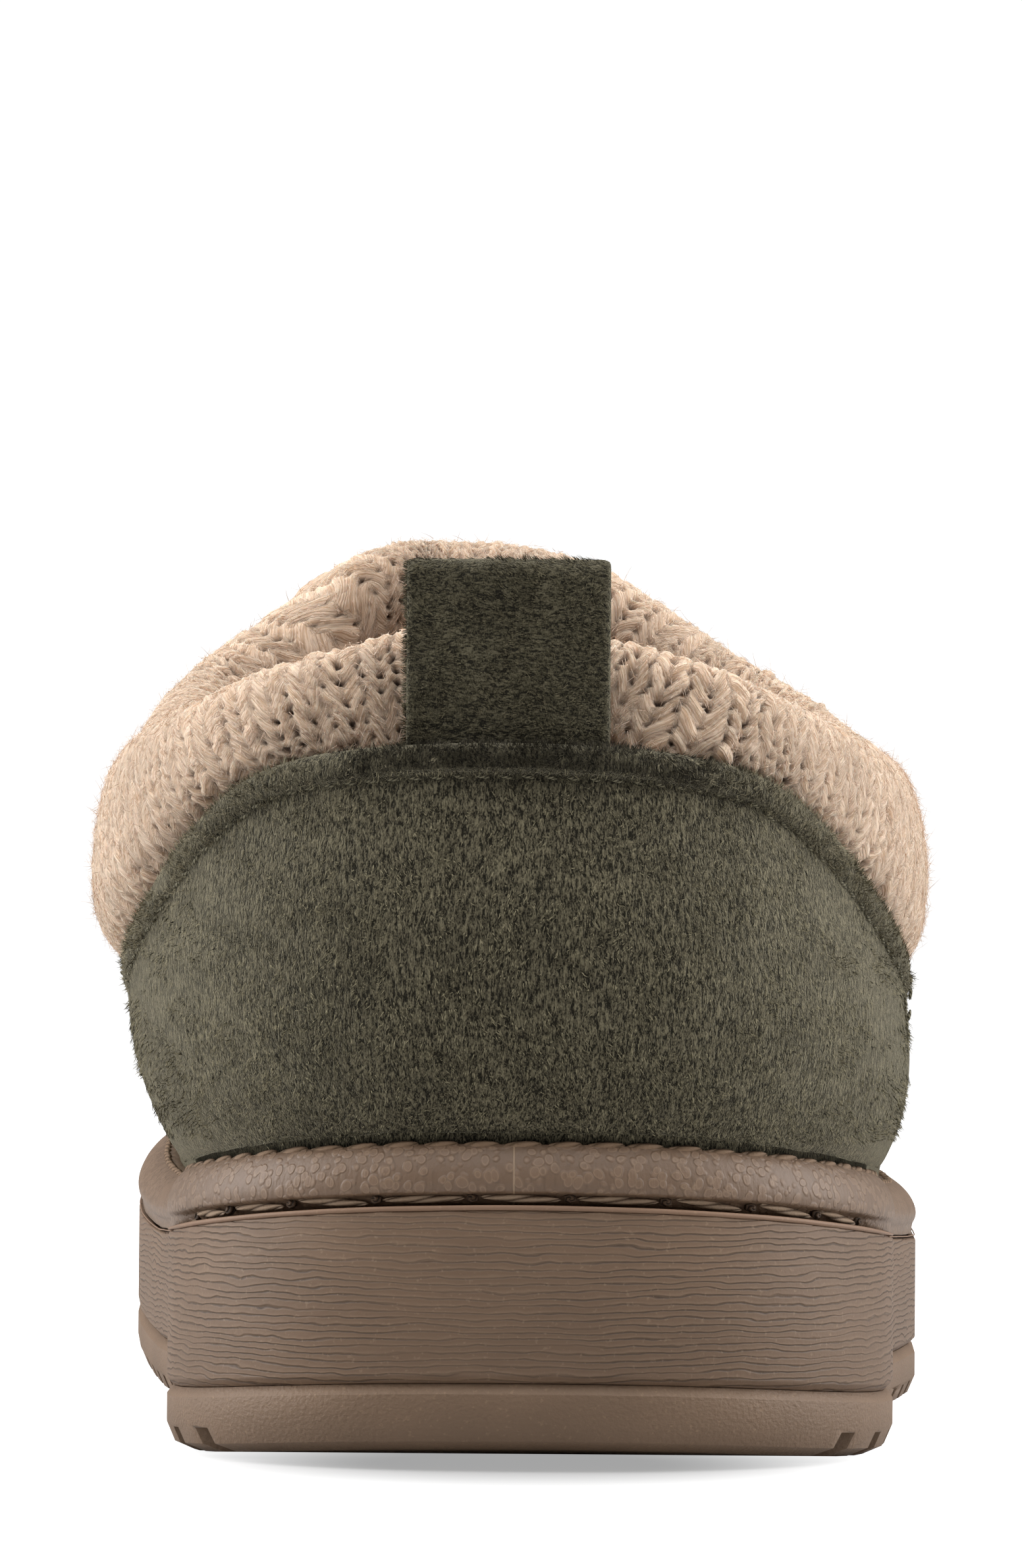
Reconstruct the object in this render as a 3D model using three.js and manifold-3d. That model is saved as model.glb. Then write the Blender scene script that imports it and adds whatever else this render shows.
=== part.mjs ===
// A right-foot slip-on clog with a knitted collar: outsole, midsole, welt, insole, upper, heel counter,
// topline binding, collar and pull tab. Millimetres, +Y to the toe, +X to the outer side, +Z up.
import * as THREE from "three";
import { mergeVertices } from "three/addons/utils/BufferGeometryUtils.js";
import Module from "manifold-3d";

const wasm = await Module();
wasm.setup();

// Driving sizes
const soleLength = 272;
const heelWidth = 79.4;
const waistWidth = 82;
const ballWidth = 97.2;
const heelRound = 46; // length of the rounded end of the heel
const toeRound = 66;
const heelSquareness = 2.35;
const toeSquareness = 2.45;
const outsoleHeight = 6.6;
const soleStack = 24.8; // outsole and midsole together, at the back of the heel
const heelBevel = 2.3; // how far the sole curves up behind the heel
const heelBevelRun = 44;
const toeSpring = 10;
const toeSpringStart = 150;
const weltHeight = 6.8;
const weltWidth = 4.2;
const wall = 2.4;
const insoleThickness = 5;
const gap = 0.3;
const throatStart = 102; // how far in front of the heel the opening starts to close, and where it ends
const throatAt = 154;
const throatLean = -7.5; // the throat's middle, to the inner side
const toplineBack = 74.6;
const toplineSide = 50;
const throatHeight = 86.5;
const counterThickness = 1.4;
const hemHeight = 3.6;
const hemThickness = 0.9;
const hemOverRim = 1.2;
const bindingHeight = 3.8;
const bindingThickness = 1.3;
const collarTuck = 4;
const tabWidth = 21.3;
const tabHeight = 20.4;
const tabStrap = 1.5;
const tabSlit = 1.5;
const lugDepth = 2.6;
const lugGroove = 3;
const lugPitch = 9.6;
const lugReach = 24; // how far a groove runs in from the side

// The sole from above: how far each section's middle is off the axis, its width, and its share of weltWidth
const footprint = [
  { along: 0.0, centre: 0.015, width: heelWidth, welt: 0.8 },
  { along: 0.17, centre: 0.027, width: heelWidth, welt: 0.8 },
  { along: 0.38, centre: 0.033, width: waistWidth, welt: 0.9 },
  { along: 0.57, centre: 0.037, width: 0.975 * ballWidth, welt: 1.15 },
  { along: 0.7, centre: 0.009, width: ballWidth, welt: 1.25 },
  { along: 0.82, centre: -0.019, width: 0.965 * ballWidth, welt: 1.25 },
  { along: 1.0, centre: -0.065, width: 0.92 * ballWidth, welt: 1.15 },
];
// The height of outsole and midsole along the shoe, as a share of soleStack
const stack = [
  { along: 0.0, height: 1.0 },
  { along: 0.17, height: 0.935 },
  { along: 0.4, height: 0.85 },
  { along: 0.6, height: 0.8 },
  { along: 1.0, height: 0.81 },
];
// The topline behind the throat: drop runs from toplineBack to toplineSide
const topline = [
  { along: 0.0, drop: 0.0 },
  { along: 0.012, drop: 0.037 },
  { along: 0.032, drop: 0.115 },
  { along: 0.049, drop: 0.228 },
  { along: 0.07, drop: 0.406 },
  { along: 0.0945, drop: 0.6 },
  { along: 0.121, drop: 0.745 },
  { along: 0.151, drop: 0.9 },
  { along: 0.2, drop: 1.0 },
];
const throatSquareness = 2.3; // the throat's curve from above
const climbOuter = 0.89; // how late the topline climbs round the throat, on the outer and the inner side
const climbInner = 0.68;
// The upper's wall, by share of the way round from heel to toe. It leaves the welt leaning out by flare, in
// degrees, and comes to the rim leaning in by tilt; lift and pull say how far it keeps those directions.
// Rim is the share of rimFlare that the rim stands out.
const wallLift = 34;
const wallPull = 50;
const rimFlare = 4.8;
const rimLean = 1.8; // how far the whole rim leans to the inner side
const wallShape = [
  { way: 0.0, flare: 24, lift: 0.53, tilt: 7, pull: 0.28, rim: 0.3 },
  { way: 0.14, flare: 28, lift: 0.42, tilt: 8, pull: 0.24, rim: 0.28 },
  { way: 0.22, flare: 31, lift: 0.32, tilt: 8, pull: 0.19, rim: 0.55 },
  { way: 0.32, flare: 32, lift: 0.29, tilt: 5, pull: 0.15, rim: 1.0 },
  { way: 0.5, flare: 25, lift: 0.34, tilt: 9, pull: 0.2, rim: 1.0 },
  { way: 0.62, flare: 18, lift: 0.52, tilt: 24, pull: 0.36, rim: 1.0 },
  { way: 0.78, flare: 15, lift: 0.9, tilt: 46, pull: 0.7, rim: 1.0 },
  { way: 1.0, flare: 12, lift: 1.1, tilt: 60, pull: 1.0, rim: 1.0 },
];
// The knitted collar round the opening: its height over the topline, how far it stands out, how thick it is,
// and how far it leans in, in degrees
const collarSlip = -1; // to the inner side
const collarDip = 1.2; // how much lower it is along the outer side
const collarHeight = 28;
const collarThickness = 15;
const collar = [
  { way: 0.0, height: 0.52, out: -0.38, thickness: 0.76, lean: 7, dip: 0 },
  { way: 0.06, height: 0.48, out: -0.33, thickness: 0.76, lean: 7, dip: 0 },
  { way: 0.11, height: 0.42, out: 0.0, thickness: 0.84, lean: 7, dip: 0 },
  { way: 0.16, height: 0.45, out: 0.14, thickness: 0.92, lean: 7, dip: 0.3 },
  { way: 0.22, height: 0.63, out: 0.25, thickness: 1.0, lean: 6, dip: 0.7 },
  { way: 0.3, height: 0.88, out: 0.36, thickness: 1.08, lean: 4, dip: 1 },
  { way: 0.4, height: 1.0, out: 0.41, thickness: 1.1, lean: 2, dip: 1 },
  { way: 0.55, height: 1.0, out: 0.46, thickness: 1.14, lean: 1, dip: 0.9 },
  { way: 0.66, height: 0.97, out: 0.54, thickness: 1.14, lean: 5, dip: 0.7 },
  { way: 0.78, height: 0.9, out: 0.38, thickness: 1.06, lean: 20, dip: 0.5 },
  { way: 0.9, height: 0.88, out: 0.22, thickness: 0.98, lean: 32, dip: 0.3 },
  { way: 1.0, height: 0.88, out: 0.16, thickness: 0.92, lean: 36, dip: 0 },
];

const stationsBehind = 17; // from the heel to where the throat's curve starts
const stationsAhead = 15; // from there to the toe
const stations = stationsBehind + stationsAhead;
const counterStations = 10; // from the heel to the counter's front edge

// A smooth curve through one column of a table
function at(table, key, column, where) {
  const last = table.length - 1;
  const slope = (i) => {
    const a = table[Math.max(0, i - 1)];
    const b = table[Math.min(last, i + 1)];
    return (b[column] - a[column]) / (b[key] - a[key]);
  };
  if (where <= table[0][key]) return table[0][column];
  if (where >= table[last][key]) return table[last][column];
  const i = table.findIndex((row) => row[key] > where) - 1;
  const span = table[i + 1][key] - table[i][key];
  const t = (where - table[i][key]) / span;
  const keep = 2 * t ** 3 - 3 * t ** 2 + 1;
  return (
    keep * table[i][column] +
    (1 - keep) * table[i + 1][column] +
    (t ** 3 - 2 * t ** 2 + t) * span * slope(i) +
    (t ** 3 - t ** 2) * span * slope(i + 1)
  );
}

const quarter = Math.PI / 2;
const vec = (x, y, z) => new THREE.Vector3(x, y, z);
const clamp = THREE.MathUtils.clamp;
const lerp = THREE.MathUtils.lerp;

// Levels of the sole, by distance from the heel
const floorAt = (y) =>
  heelBevel * Math.max(0, 1 - y / heelBevelRun) ** 2 +
  toeSpring * Math.max(0, (y - toeSpringStart) / (soleLength - toeSpringStart)) ** 1.5;
const edgeAt = (y) => floorAt(y) + soleStack * at(stack, "along", "height", y / soleLength);
const featherAt = (y) => edgeAt(y) + weltHeight + gap;

// Station w runs from 0 at the heel to stations at the toe: above 0 on the outer side, below 0 inner
const wrap = (w) => w - 2 * stations * Math.round(w / (2 * stations));
const closeness = 0.6 * Math.PI; // stations lie closer together towards heel and toe
const spread = (share) => (1 - Math.cos(closeness * share)) / (1 - Math.cos(closeness));
function stationY(w) {
  const i = Math.abs(wrap(w));
  if (i <= stationsBehind) return throatStart * spread(i / stationsBehind);
  return soleLength - (soleLength - throatStart) * spread((stations - i) / stationsAhead);
}

function roundEnd(distance, length, squareness) {
  const t = clamp(distance / length, 0, 1);
  return (1 - (1 - t) ** squareness) ** (1 / squareness);
}

const middleAt = (y) => ballWidth * at(footprint, "along", "centre", y / soleLength);

function edgePoint(w) {
  const y = stationY(w);
  const half =
    0.5 *
    at(footprint, "along", "width", y / soleLength) *
    roundEnd(y, heelRound, heelSquareness) *
    roundEnd(soleLength - y, toeRound, toeSquareness);
  return vec(middleAt(y) + Math.sign(wrap(w)) * half, y, 0);
}

// Outward direction of a closed line, in plan
const step = 0.02;
function outward(line, w) {
  const along = line(w + step).sub(line(w - step));
  return vec(along.y, -along.x, 0).normalize();
}

const insetPoint = (w, inset, z) =>
  edgePoint(w).addScaledVector(outward(edgePoint, w), -inset).setZ(z);
const weltAt = (w) => weltWidth * at(footprint, "along", "welt", stationY(w) / soleLength);

// Shape of the wall at a station
const way = (w) => Math.abs(wrap(w)) / stations;
const wallAt = (w, column) => at(wallShape, "way", column, way(w));

// The opening's edge: behind it follows the sole, in front it is a rounded throat
function rimPoint(w) {
  const side = Math.sign(wrap(w)) || 1;
  const i = Math.abs(wrap(w));
  const behind = (j) => {
    const y = stationY(j);
    const z = lerp(toplineBack, toplineSide, at(topline, "along", "drop", y / soleLength));
    return insetPoint(j, weltAt(j) - rimFlare * wallAt(j, "rim"), z).add(vec(-rimLean, 0, 0));
  };
  if (i <= stationsBehind) return behind(side * i);
  const start = behind(side * stationsBehind);
  const turn = (quarter * (i - stationsBehind)) / stationsAhead;
  const power = 2 / throatSquareness;
  const climb = side > 0 ? climbOuter : climbInner;
  return vec(
    lerp(throatLean, start.x, Math.max(0, Math.cos(turn)) ** power),
    lerp(start.y, throatAt, Math.sin(turn) ** power),
    lerp(start.z, throatHeight, Math.sin(turn) ** (2 * climb)),
  );
}

// A direction that leans from upright towards the outside of a line, by an angle in degrees
const leaning = (line, w, angle) =>
  outward(line, w)
    .multiplyScalar(Math.sin(THREE.MathUtils.degToRad(angle)))
    .setZ(Math.cos(THREE.MathUtils.degToRad(angle)));

// Into the shoe from the rim, level: across it at the sides, turning to the heel round the throat
function inwardAt(w) {
  const turned = clamp((Math.abs(wrap(w)) - stationsBehind) / stationsAhead, 0, 1);
  const across = outward(edgePoint, Math.sign(wrap(w)) * Math.min(Math.abs(wrap(w)), stationsBehind));
  return across.negate().lerp(vec(0, -1, 0), Math.sin(quarter * turned) ** 2).normalize();
}

// Up from the rim, leaning in by an angle in degrees
const leaningIn = (w, degrees) =>
  inwardAt(w)
    .multiplyScalar(Math.sin(THREE.MathUtils.degToRad(degrees)))
    .setZ(Math.cos(THREE.MathUtils.degToRad(degrees)));

const rimDirection = (w) => leaningIn(w, wallAt(w, "tilt"));

// The last's surface at station w: t is 0 at the welt and 1 at the rim, and goes straight on past it
function lastPoint(w, t) {
  const foot = insetPoint(w, weltAt(w), featherAt(stationY(w)));
  const rim = rimPoint(w);
  const on = rimDirection(w);
  const pull = wallPull * wallAt(w, "pull");
  if (t > 1) return rim.addScaledVector(on, 3 * pull * (t - 1));
  const leaving = foot
    .clone()
    .addScaledVector(leaning(edgePoint, w, wallAt(w, "flare")), wallLift * wallAt(w, "lift"));
  const coming = rim.clone().addScaledVector(on, -pull);
  return new THREE.CubicBezierCurve3(foot, leaving, coming, rim).getPoint(Math.max(0, t));
}

function skinNormal(w, t) {
  const from = Math.max(0, t - step);
  const across = lastPoint(w, from + 2 * step).sub(lastPoint(w, from));
  const along = lastPoint(w + step, t).sub(lastPoint(w - step, t));
  return along.cross(across).normalize();
}

const skin = (w, t, offset) => lastPoint(w, t).addScaledVector(skinNormal(w, t), offset);

// Values of t at given distances from the start of a station's line
function placesOn(w, from, to, distances) {
  const samples = 48;
  const lengths = [0];
  let before = lastPoint(w, from);
  for (let i = 1; i <= samples; i++) {
    const here = lastPoint(w, lerp(from, to, i / samples));
    lengths.push(lengths[i - 1] + here.distanceTo(before));
    before = here;
  }
  return distances(lengths[samples]).map((length) => {
    const i = clamp(lengths.filter((l) => l < length).length - 1, 0, samples - 1);
    const share = (length - lengths[i]) / (lengths[i + 1] - lengths[i]);
    return lerp(from, to, clamp((i + clamp(share, 0, 1)) / samples, 0, 1));
  });
}

const evenly = (count) => (whole) =>
  Array.from({ length: count + 1 }, (_, i) => (whole * i) / count);

// Turns a list of triangles into one closed geometry that faces out
function closedGeometry(triangles) {
  const flat = triangles.flatMap((t) => t.flatMap((p) => [p.x, p.y, p.z]));
  const loose = new THREE.BufferGeometry();
  loose.setAttribute("position", new THREE.BufferAttribute(new Float32Array(flat), 3));
  const merged = mergeVertices(loose, 1e-3);
  const index = merged.index.array;
  const kept = [];
  for (let i = 0; i < index.length; i += 3) {
    const [a, b, c] = index.slice(i, i + 3);
    if (a !== b && b !== c && c !== a) kept.push(a, b, c);
  }
  const position = merged.attributes.position;
  const corner = (i) => new THREE.Vector3().fromBufferAttribute(position, kept[i]);
  let volume = 0;
  for (let i = 0; i < kept.length; i += 3) {
    volume += corner(i).dot(corner(i + 1).cross(corner(i + 2)));
  }
  if (volume < 0) kept.reverse();
  merged.setIndex(kept);
  return merged;
}

const quad = (a, b, c, d) => [
  [a, b, c],
  [a, c, d],
];

// Rows of points joined into a skin; a closed skin also joins the last point of a row to its first
function skinOf(rows, closed) {
  const triangles = [];
  for (let r = 0; r + 1 < rows.length; r++) {
    const count = rows[r].length;
    for (let k = 0; k < (closed ? count : count - 1); k++) {
      const n = (k + 1) % count;
      triangles.push(...quad(rows[r][k], rows[r][n], rows[r + 1][n], rows[r + 1][k]));
    }
  }
  return triangles;
}

// Stations all round the shoe, from the heel along the outer side to the toe and back
const allRound = Array.from({ length: 2 * stations }, (_, k) =>
  k <= stations ? k : k - 2 * stations,
);

// A lid across a ring of stations, from each outer point to its inner partner
function lid(ring) {
  const count = ring.length;
  const triangles = [];
  for (let k = 0; k < count / 2; k++) {
    const partner = (count - k) % count;
    triangles.push(...quad(ring[k], ring[k + 1], ring[count - k - 1], ring[partner]));
  }
  return triangles;
}

const flip = (triangles) => triangles.map(([a, b, c]) => [a, c, b]);

// A slab that follows the sole's outline: each layer has an inset from the edge and a height
function slab(layers) {
  const rings = layers.map(({ inset, level }) =>
    allRound.map((w) => insetPoint(w, inset, level(stationY(w)))),
  );
  return closedGeometry([
    ...skinOf(rings, true),
    ...flip(lid(rings[0])),
    ...lid(rings[rings.length - 1]),
  ]);
}

function toManifold(geometry) {
  const plain = new THREE.BufferGeometry();
  plain.setAttribute("position", geometry.getAttribute("position"));
  plain.setIndex(geometry.index);
  const merged = mergeVertices(plain, 1e-4);
  return new wasm.Manifold(
    new wasm.Mesh({
      numProp: 3,
      vertProperties: new Float32Array(merged.attributes.position.array),
      triVerts: new Uint32Array(merged.index.array),
    }),
  );
}

function fromManifold(solid) {
  const made = solid.getMesh();
  const geometry = new THREE.BufferGeometry();
  geometry.setAttribute("position", new THREE.BufferAttribute(made.vertProperties, 3));
  geometry.setIndex(new THREE.BufferAttribute(made.triVerts, 1));
  return geometry;
}

// Outsole: a rounded slab with grooves cut in from both sides of its tread
function outsoleGeometry() {
  const edgeRound = 3;
  const lip = 0.8;
  const top = (y) => floorAt(y) + outsoleHeight;
  let solid = toManifold(
    slab([
      { inset: edgeRound, level: floorAt },
      { inset: 0.3 * edgeRound, level: (y) => floorAt(y) + 0.3 * edgeRound },
      { inset: 0, level: (y) => floorAt(y) + edgeRound },
      { inset: 0, level: (y) => top(y) - lip },
      { inset: lip, level: top },
    ]),
  );
  const first = 2 * lugPitch;
  const count = Math.floor((soleLength - 0.3 * toeRound - first) / lugPitch);
  const clear = 10; // how far a cutter runs past the edge
  for (let i = 0; i <= count; i++) {
    const y = first + i * lugPitch;
    for (const side of [1, -1]) {
      const outer = widestAt(y, side) + side * clear;
      const inner = widestAt(y, side) - side * lugReach;
      if (side * (inner - middleAt(y)) < 0.2 * lugReach) continue;
      const box = new THREE.BoxGeometry(Math.abs(outer - inner), lugGroove, lugDepth + clear);
      box.rotateX(Math.atan((floorAt(y + 1) - floorAt(y - 1)) / 2));
      box.translate((outer + inner) / 2, y, floorAt(y) + (lugDepth - clear) / 2);
      solid = solid.subtract(toManifold(box));
    }
  }
  return fromManifold(solid);
}

// The sole edge's x at a distance from the heel
function widestAt(y, side) {
  let low = 0;
  let high = stations;
  for (let i = 0; i < 40; i++) {
    const mid = (low + high) / 2;
    if (stationY(mid) < y) low = mid;
    else high = mid;
  }
  return edgePoint(side * low).x;
}

// Midsole: its top edge stands up as a thin lip, with a gutter behind it for the welt's stitches
function midsoleGeometry() {
  const lip = 0.8;
  const gutterDepth = 0.9;
  const gutterEnd = 2;
  const bottom = (y) => floorAt(y) + outsoleHeight + gap;
  return slab([
    { inset: lip, level: bottom },
    { inset: 0, level: (y) => bottom(y) + lip },
    { inset: 0, level: (y) => edgeAt(y) - 0.2 },
    { inset: 0.2, level: edgeAt },
    { inset: lip, level: edgeAt },
    { inset: lip + 0.3, level: (y) => edgeAt(y) - gutterDepth },
    { inset: gutterEnd, level: (y) => edgeAt(y) - gutterDepth },
    { inset: gutterEnd + 0.3, level: edgeAt },
  ]);
}

// Welt: a rounded bead on the midsole's edge, round the foot of the upper
const bead = [
  { inset: 1.0, height: 0.0 },
  { inset: 0.5, height: 0.0 },
  { inset: 0.12, height: 0.1 },
  { inset: -0.08, height: 0.3 },
  { inset: -0.05, height: 0.48 },
  { inset: 0.1, height: 0.68 },
  { inset: 0.36, height: 0.86 },
  { inset: 0.68, height: 0.97 },
  { inset: 1.0, height: 1.0 },
];
function weltGeometry() {
  const rings = bead.map(({ inset, height }) =>
    allRound.map((w) => {
      const y = stationY(w);
      return insetPoint(w, inset * (weltAt(w) - gap), lerp(edgeAt(y) + gap, featherAt(y), height));
    }),
  );
  return closedGeometry(skinOf([...rings, rings[0]], true));
}

// Insole: a padded plate inside the foot of the upper
function insoleGeometry() {
  const inset = 1.25 * weltWidth + wall + 2 * gap;
  const soften = 1;
  const bottom = (y) => edgeAt(y) + gap;
  return slab([
    { inset, level: bottom },
    { inset, level: (y) => bottom(y) + insoleThickness - soften },
    { inset: inset + soften, level: (y) => bottom(y) + insoleThickness },
  ]);
}

// Upper: one hollow shell, open at the collar and underneath
function upperGeometry() {
  const rows = 12;
  const foot = (w, inset) => insetPoint(w, weltAt(w) + inset, edgeAt(stationY(w)) + gap);
  const places = allRound.map((w) => placesOn(w, 0, 1, evenly(rows)));
  const outer = [allRound.map((w) => foot(w, 0))];
  const inner = [allRound.map((w) => foot(w, wall))];
  for (let r = 0; r <= rows; r++) {
    outer.push(allRound.map((w, k) => lastPoint(w, places[k][r])));
    inner.push(allRound.map((w, k) => skin(w, places[k][r], -wall)));
  }
  return closedGeometry([
    ...skinOf(outer, true),
    ...flip(skinOf(inner, true)),
    ...flip(skinOf([outer[0], inner[0]], true)),
    ...skinOf([outer[rows + 1], inner[rows + 1]], true),
  ]);
}

// Heel counter: a panel over the back of the upper, with a turned hem along its top
function counterGeometry() {
  const rows = 8;
  const low = 0.02; // where it starts over the welt, as a share of the wall's line
  const thick = gap + counterThickness;
  const turnIn = 0.5; // how quickly the hem steps out and back
  const across = Array.from({ length: 2 * counterStations + 1 }, (_, i) => i - counterStations);
  const distances = (whole) => [
    ...evenly(rows)(whole - hemHeight - turnIn),
    whole - hemHeight,
    whole - turnIn,
    whole,
  ];
  const offsets = [...Array(rows + 1).fill(thick), ...Array(2).fill(thick + hemThickness), thick];
  const rings = across.map((w) => {
    const end = 1 + hemOverRim / (3 * wallPull * wallAt(w, "pull"));
    const line = placesOn(w, low, end, distances);
    return [
      ...line.map((t, r) => skin(w, t, offsets[r])),
      ...line.map((t) => skin(w, t, gap)).reverse(),
    ];
  });
  const endCap = (ring) => {
    const half = ring.length / 2;
    return skinOf([ring.slice(0, half), ring.slice(half).reverse()], false);
  };
  return closedGeometry([
    ...skinOf(rings, true),
    ...flip(endCap(rings[0])),
    ...endCap(rings[rings.length - 1]),
  ]);
}

// Binding: a folded strip along the vamp's edge, from one side seam round the throat to the other
function bindingGeometry() {
  const clear = 0.1; // of a station, between counter and binding
  const first = counterStations + clear;
  const route = [first];
  for (let w = Math.ceil(first); w <= 2 * stations - first; w++) route.push(w);
  route.push(2 * stations - first);
  const section = [
    { along: 1.0, outward: 0.0 },
    { along: 0.94, outward: 0.8 },
    { along: 0.5, outward: 1.0 },
    { along: 0.08, outward: 0.9 },
    { along: 0.0, outward: 0.5 },
    { along: 0.0, outward: 0.0 },
  ];
  const rings = route.map((w) => {
    const distances = (whole) => section.map(({ along }) => whole - bindingHeight * along);
    return placesOn(w, 0, 1, distances).map((t, i) =>
      skin(w, t, gap + bindingThickness * section[i].outward),
    );
  });
  return closedGeometry([
    ...skinOf(rings, true),
    ...flip(fan(rings[0])),
    ...fan(rings[rings.length - 1]),
  ]);
}

function fan(ring) {
  return ring.slice(1, -1).map((p, i) => [ring[0], p, ring[i + 2]]);
}

// Collar: a thick knitted roll, tucked in behind the topline
function collarGeometry() {
  const seat = -wall - gap;
  const ledge = hemOverRim + 2 * gap;
  const rings = allRound.map((w) => {
    const on = rimDirection(w);
    const up = leaningIn(w, at(collar, "way", "lean", way(w)));
    const away = inwardAt(w).negate();
    const base = rimPoint(w).addScaledVector(on, ledge);
    const dip = wrap(w) > 0 ? collarDip * at(collar, "way", "dip", way(w)) : 0;
    const height = collarHeight * at(collar, "way", "height", way(w)) - dip;
    const thickness = collarThickness * at(collar, "way", "thickness", way(w));
    const out = collarThickness * at(collar, "way", "out", way(w));
    const side = away.clone().addScaledVector(up, -away.dot(up)).normalize();
    const spot = (along, outward) =>
      base
        .clone()
        .addScaledVector(along < 0 ? on : up, along)
        .addScaledVector(along < 0 ? skinNormal(w, 1) : side, outward)
        .add(vec(along < 0 ? 0 : collarSlip * Math.min(1, along / ledge), 0, 0));
    return [
      [-collarTuck - ledge, seat - 1],
      [-ledge, seat - 0.2],
      [-1.2, Math.min(seat + 0.2, out)],
      [0, Math.min(0, out)],
      [0.1 * height, lerp(Math.min(0, out), out, 0.8)],
      [0.4 * height, out],
      [0.76 * height, out - 0.04 * thickness],
      [0.94 * height, out - 0.22 * thickness],
      [height, out - 0.5 * thickness],
      [0.92 * height, out - 0.78 * thickness],
      [0.7 * height, out - 0.95 * thickness],
      [0.35 * height, out - thickness],
      [0, out - 0.92 * thickness],
      [-collarTuck - ledge, Math.min(seat - 3, out - 0.66 * thickness)],
    ].map(([along, outward]) => spot(along, outward));
  });
  const columns = rings[0].map((_, j) => rings.map((ring) => ring[j]));
  return closedGeometry(skinOf([...columns, columns[0]], true));
}

// Pull tab: a folded strap that stands on the rim behind the collar, bent to the heel's curve
function tabGeometry() {
  const root = gap * 1.2;
  const half = tabStrap + tabSlit / 2;
  const foot = tabStrap + 0.1;
  const top = tabHeight - half;
  const profile = new THREE.Shape();
  profile.moveTo(-foot, root);
  profile.lineTo(foot, root);
  profile.quadraticCurveTo(foot, 0.35 * tabHeight, half, top);
  profile.absarc(0, top, half, 0, Math.PI, false);
  profile.quadraticCurveTo(-foot, 0.35 * tabHeight, -foot, root);
  const slit = new THREE.Path();
  slit.absarc(0, top, tabSlit / 2, 0, Math.PI, false);
  slit.lineTo(-0.15, 0.22 * tabHeight);
  slit.lineTo(0.15, 0.22 * tabHeight);
  profile.holes.push(slit);
  const strap = new THREE.ExtrudeGeometry(profile, {
    depth: tabWidth,
    steps: 4,
    bevelEnabled: false,
    curveSegments: 6,
  });
  strap.translate(0, 0, -tabWidth / 2);
  strap.rotateX(quarter);
  strap.rotateZ(quarter);
  const place = skin(0, 1, -foot);
  const side = skin(tabSide(), 1, -foot);
  const bow = (side.y - place.y) / (side.x - place.x) ** 2;
  const points = strap.getAttribute("position");
  for (let i = 0; i < points.count; i++) {
    const x = points.getX(i);
    points.setY(i, points.getY(i) + bow * x * x + place.y + gap);
    points.setX(i, x + place.x);
    points.setZ(i, points.getZ(i) + place.z);
  }
  strap.deleteAttribute("normal");
  strap.deleteAttribute("uv");
  return mergeVertices(strap, 1e-3);
}

// The station whose rim lies at the tab's edge
function tabSide() {
  let low = 0;
  let high = stationsBehind / 2;
  for (let i = 0; i < 30; i++) {
    const mid = (low + high) / 2;
    if (edgePoint(mid).x - edgePoint(0).x < tabWidth / 2) low = mid;
    else high = mid;
  }
  return low;
}

const suede = { color: 0x4b4c3d, roughness: 0.95, metalness: 0 };
const soleFoam = { color: 0x7b685b, roughness: 0.6, metalness: 0 };
const knit = { color: 0xc9ab93, roughness: 1, metalness: 0 };
const fleece = { color: 0xc4ab95, roughness: 1, metalness: 0 };

const pieces = [
  ["outsole", outsoleGeometry, soleFoam],
  ["midsole", midsoleGeometry, soleFoam],
  ["welt", weltGeometry, soleFoam],
  ["insole", insoleGeometry, fleece],
  ["upper", upperGeometry, suede],
  ["heel_counter", counterGeometry, suede],
  ["topline_binding", bindingGeometry, suede],
  ["knit_collar", collarGeometry, knit],
  ["pull_tab", tabGeometry, suede],
];

const clog = new THREE.Group();
for (const [name, make, finish] of pieces) {
  const mesh = new THREE.Mesh(make(), new THREE.MeshStandardMaterial(finish));
  mesh.name = name;
  clog.add(mesh);
}

// The origin is on the floor, in the middle of the shoe's length and width
const bounds = new THREE.Box3().setFromObject(clog);
const centre = bounds.getCenter(new THREE.Vector3());
for (const mesh of clog.children) mesh.position.set(-centre.x, -centre.y, -bounds.min.z);

export default clog;
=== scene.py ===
import math

import bpy
import numpy as np
from mathutils import Matrix, Vector
from mathutils.bvhtree import BVHTree


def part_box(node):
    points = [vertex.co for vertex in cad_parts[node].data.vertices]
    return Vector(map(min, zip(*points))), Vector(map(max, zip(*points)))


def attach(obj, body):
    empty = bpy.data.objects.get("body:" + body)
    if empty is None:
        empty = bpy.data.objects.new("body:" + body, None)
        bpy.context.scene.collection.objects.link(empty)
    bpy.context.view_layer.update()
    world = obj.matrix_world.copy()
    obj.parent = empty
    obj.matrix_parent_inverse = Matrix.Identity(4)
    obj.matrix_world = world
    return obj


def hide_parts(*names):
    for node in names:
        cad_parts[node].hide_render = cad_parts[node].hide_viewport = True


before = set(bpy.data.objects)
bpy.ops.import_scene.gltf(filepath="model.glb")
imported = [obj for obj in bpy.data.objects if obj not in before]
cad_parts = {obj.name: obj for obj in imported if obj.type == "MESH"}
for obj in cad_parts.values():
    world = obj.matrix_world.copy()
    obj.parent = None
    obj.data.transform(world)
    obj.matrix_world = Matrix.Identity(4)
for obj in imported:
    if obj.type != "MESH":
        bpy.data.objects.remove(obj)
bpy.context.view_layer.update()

mm = 0.001
rng = np.random.default_rng(7)
print("frame loaded")


def deselectAll():
    if bpy.context.object and bpy.context.object.mode != "OBJECT":
        bpy.ops.object.mode_set(mode="OBJECT")
    bpy.ops.object.select_all(action="DESELECT")


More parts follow.
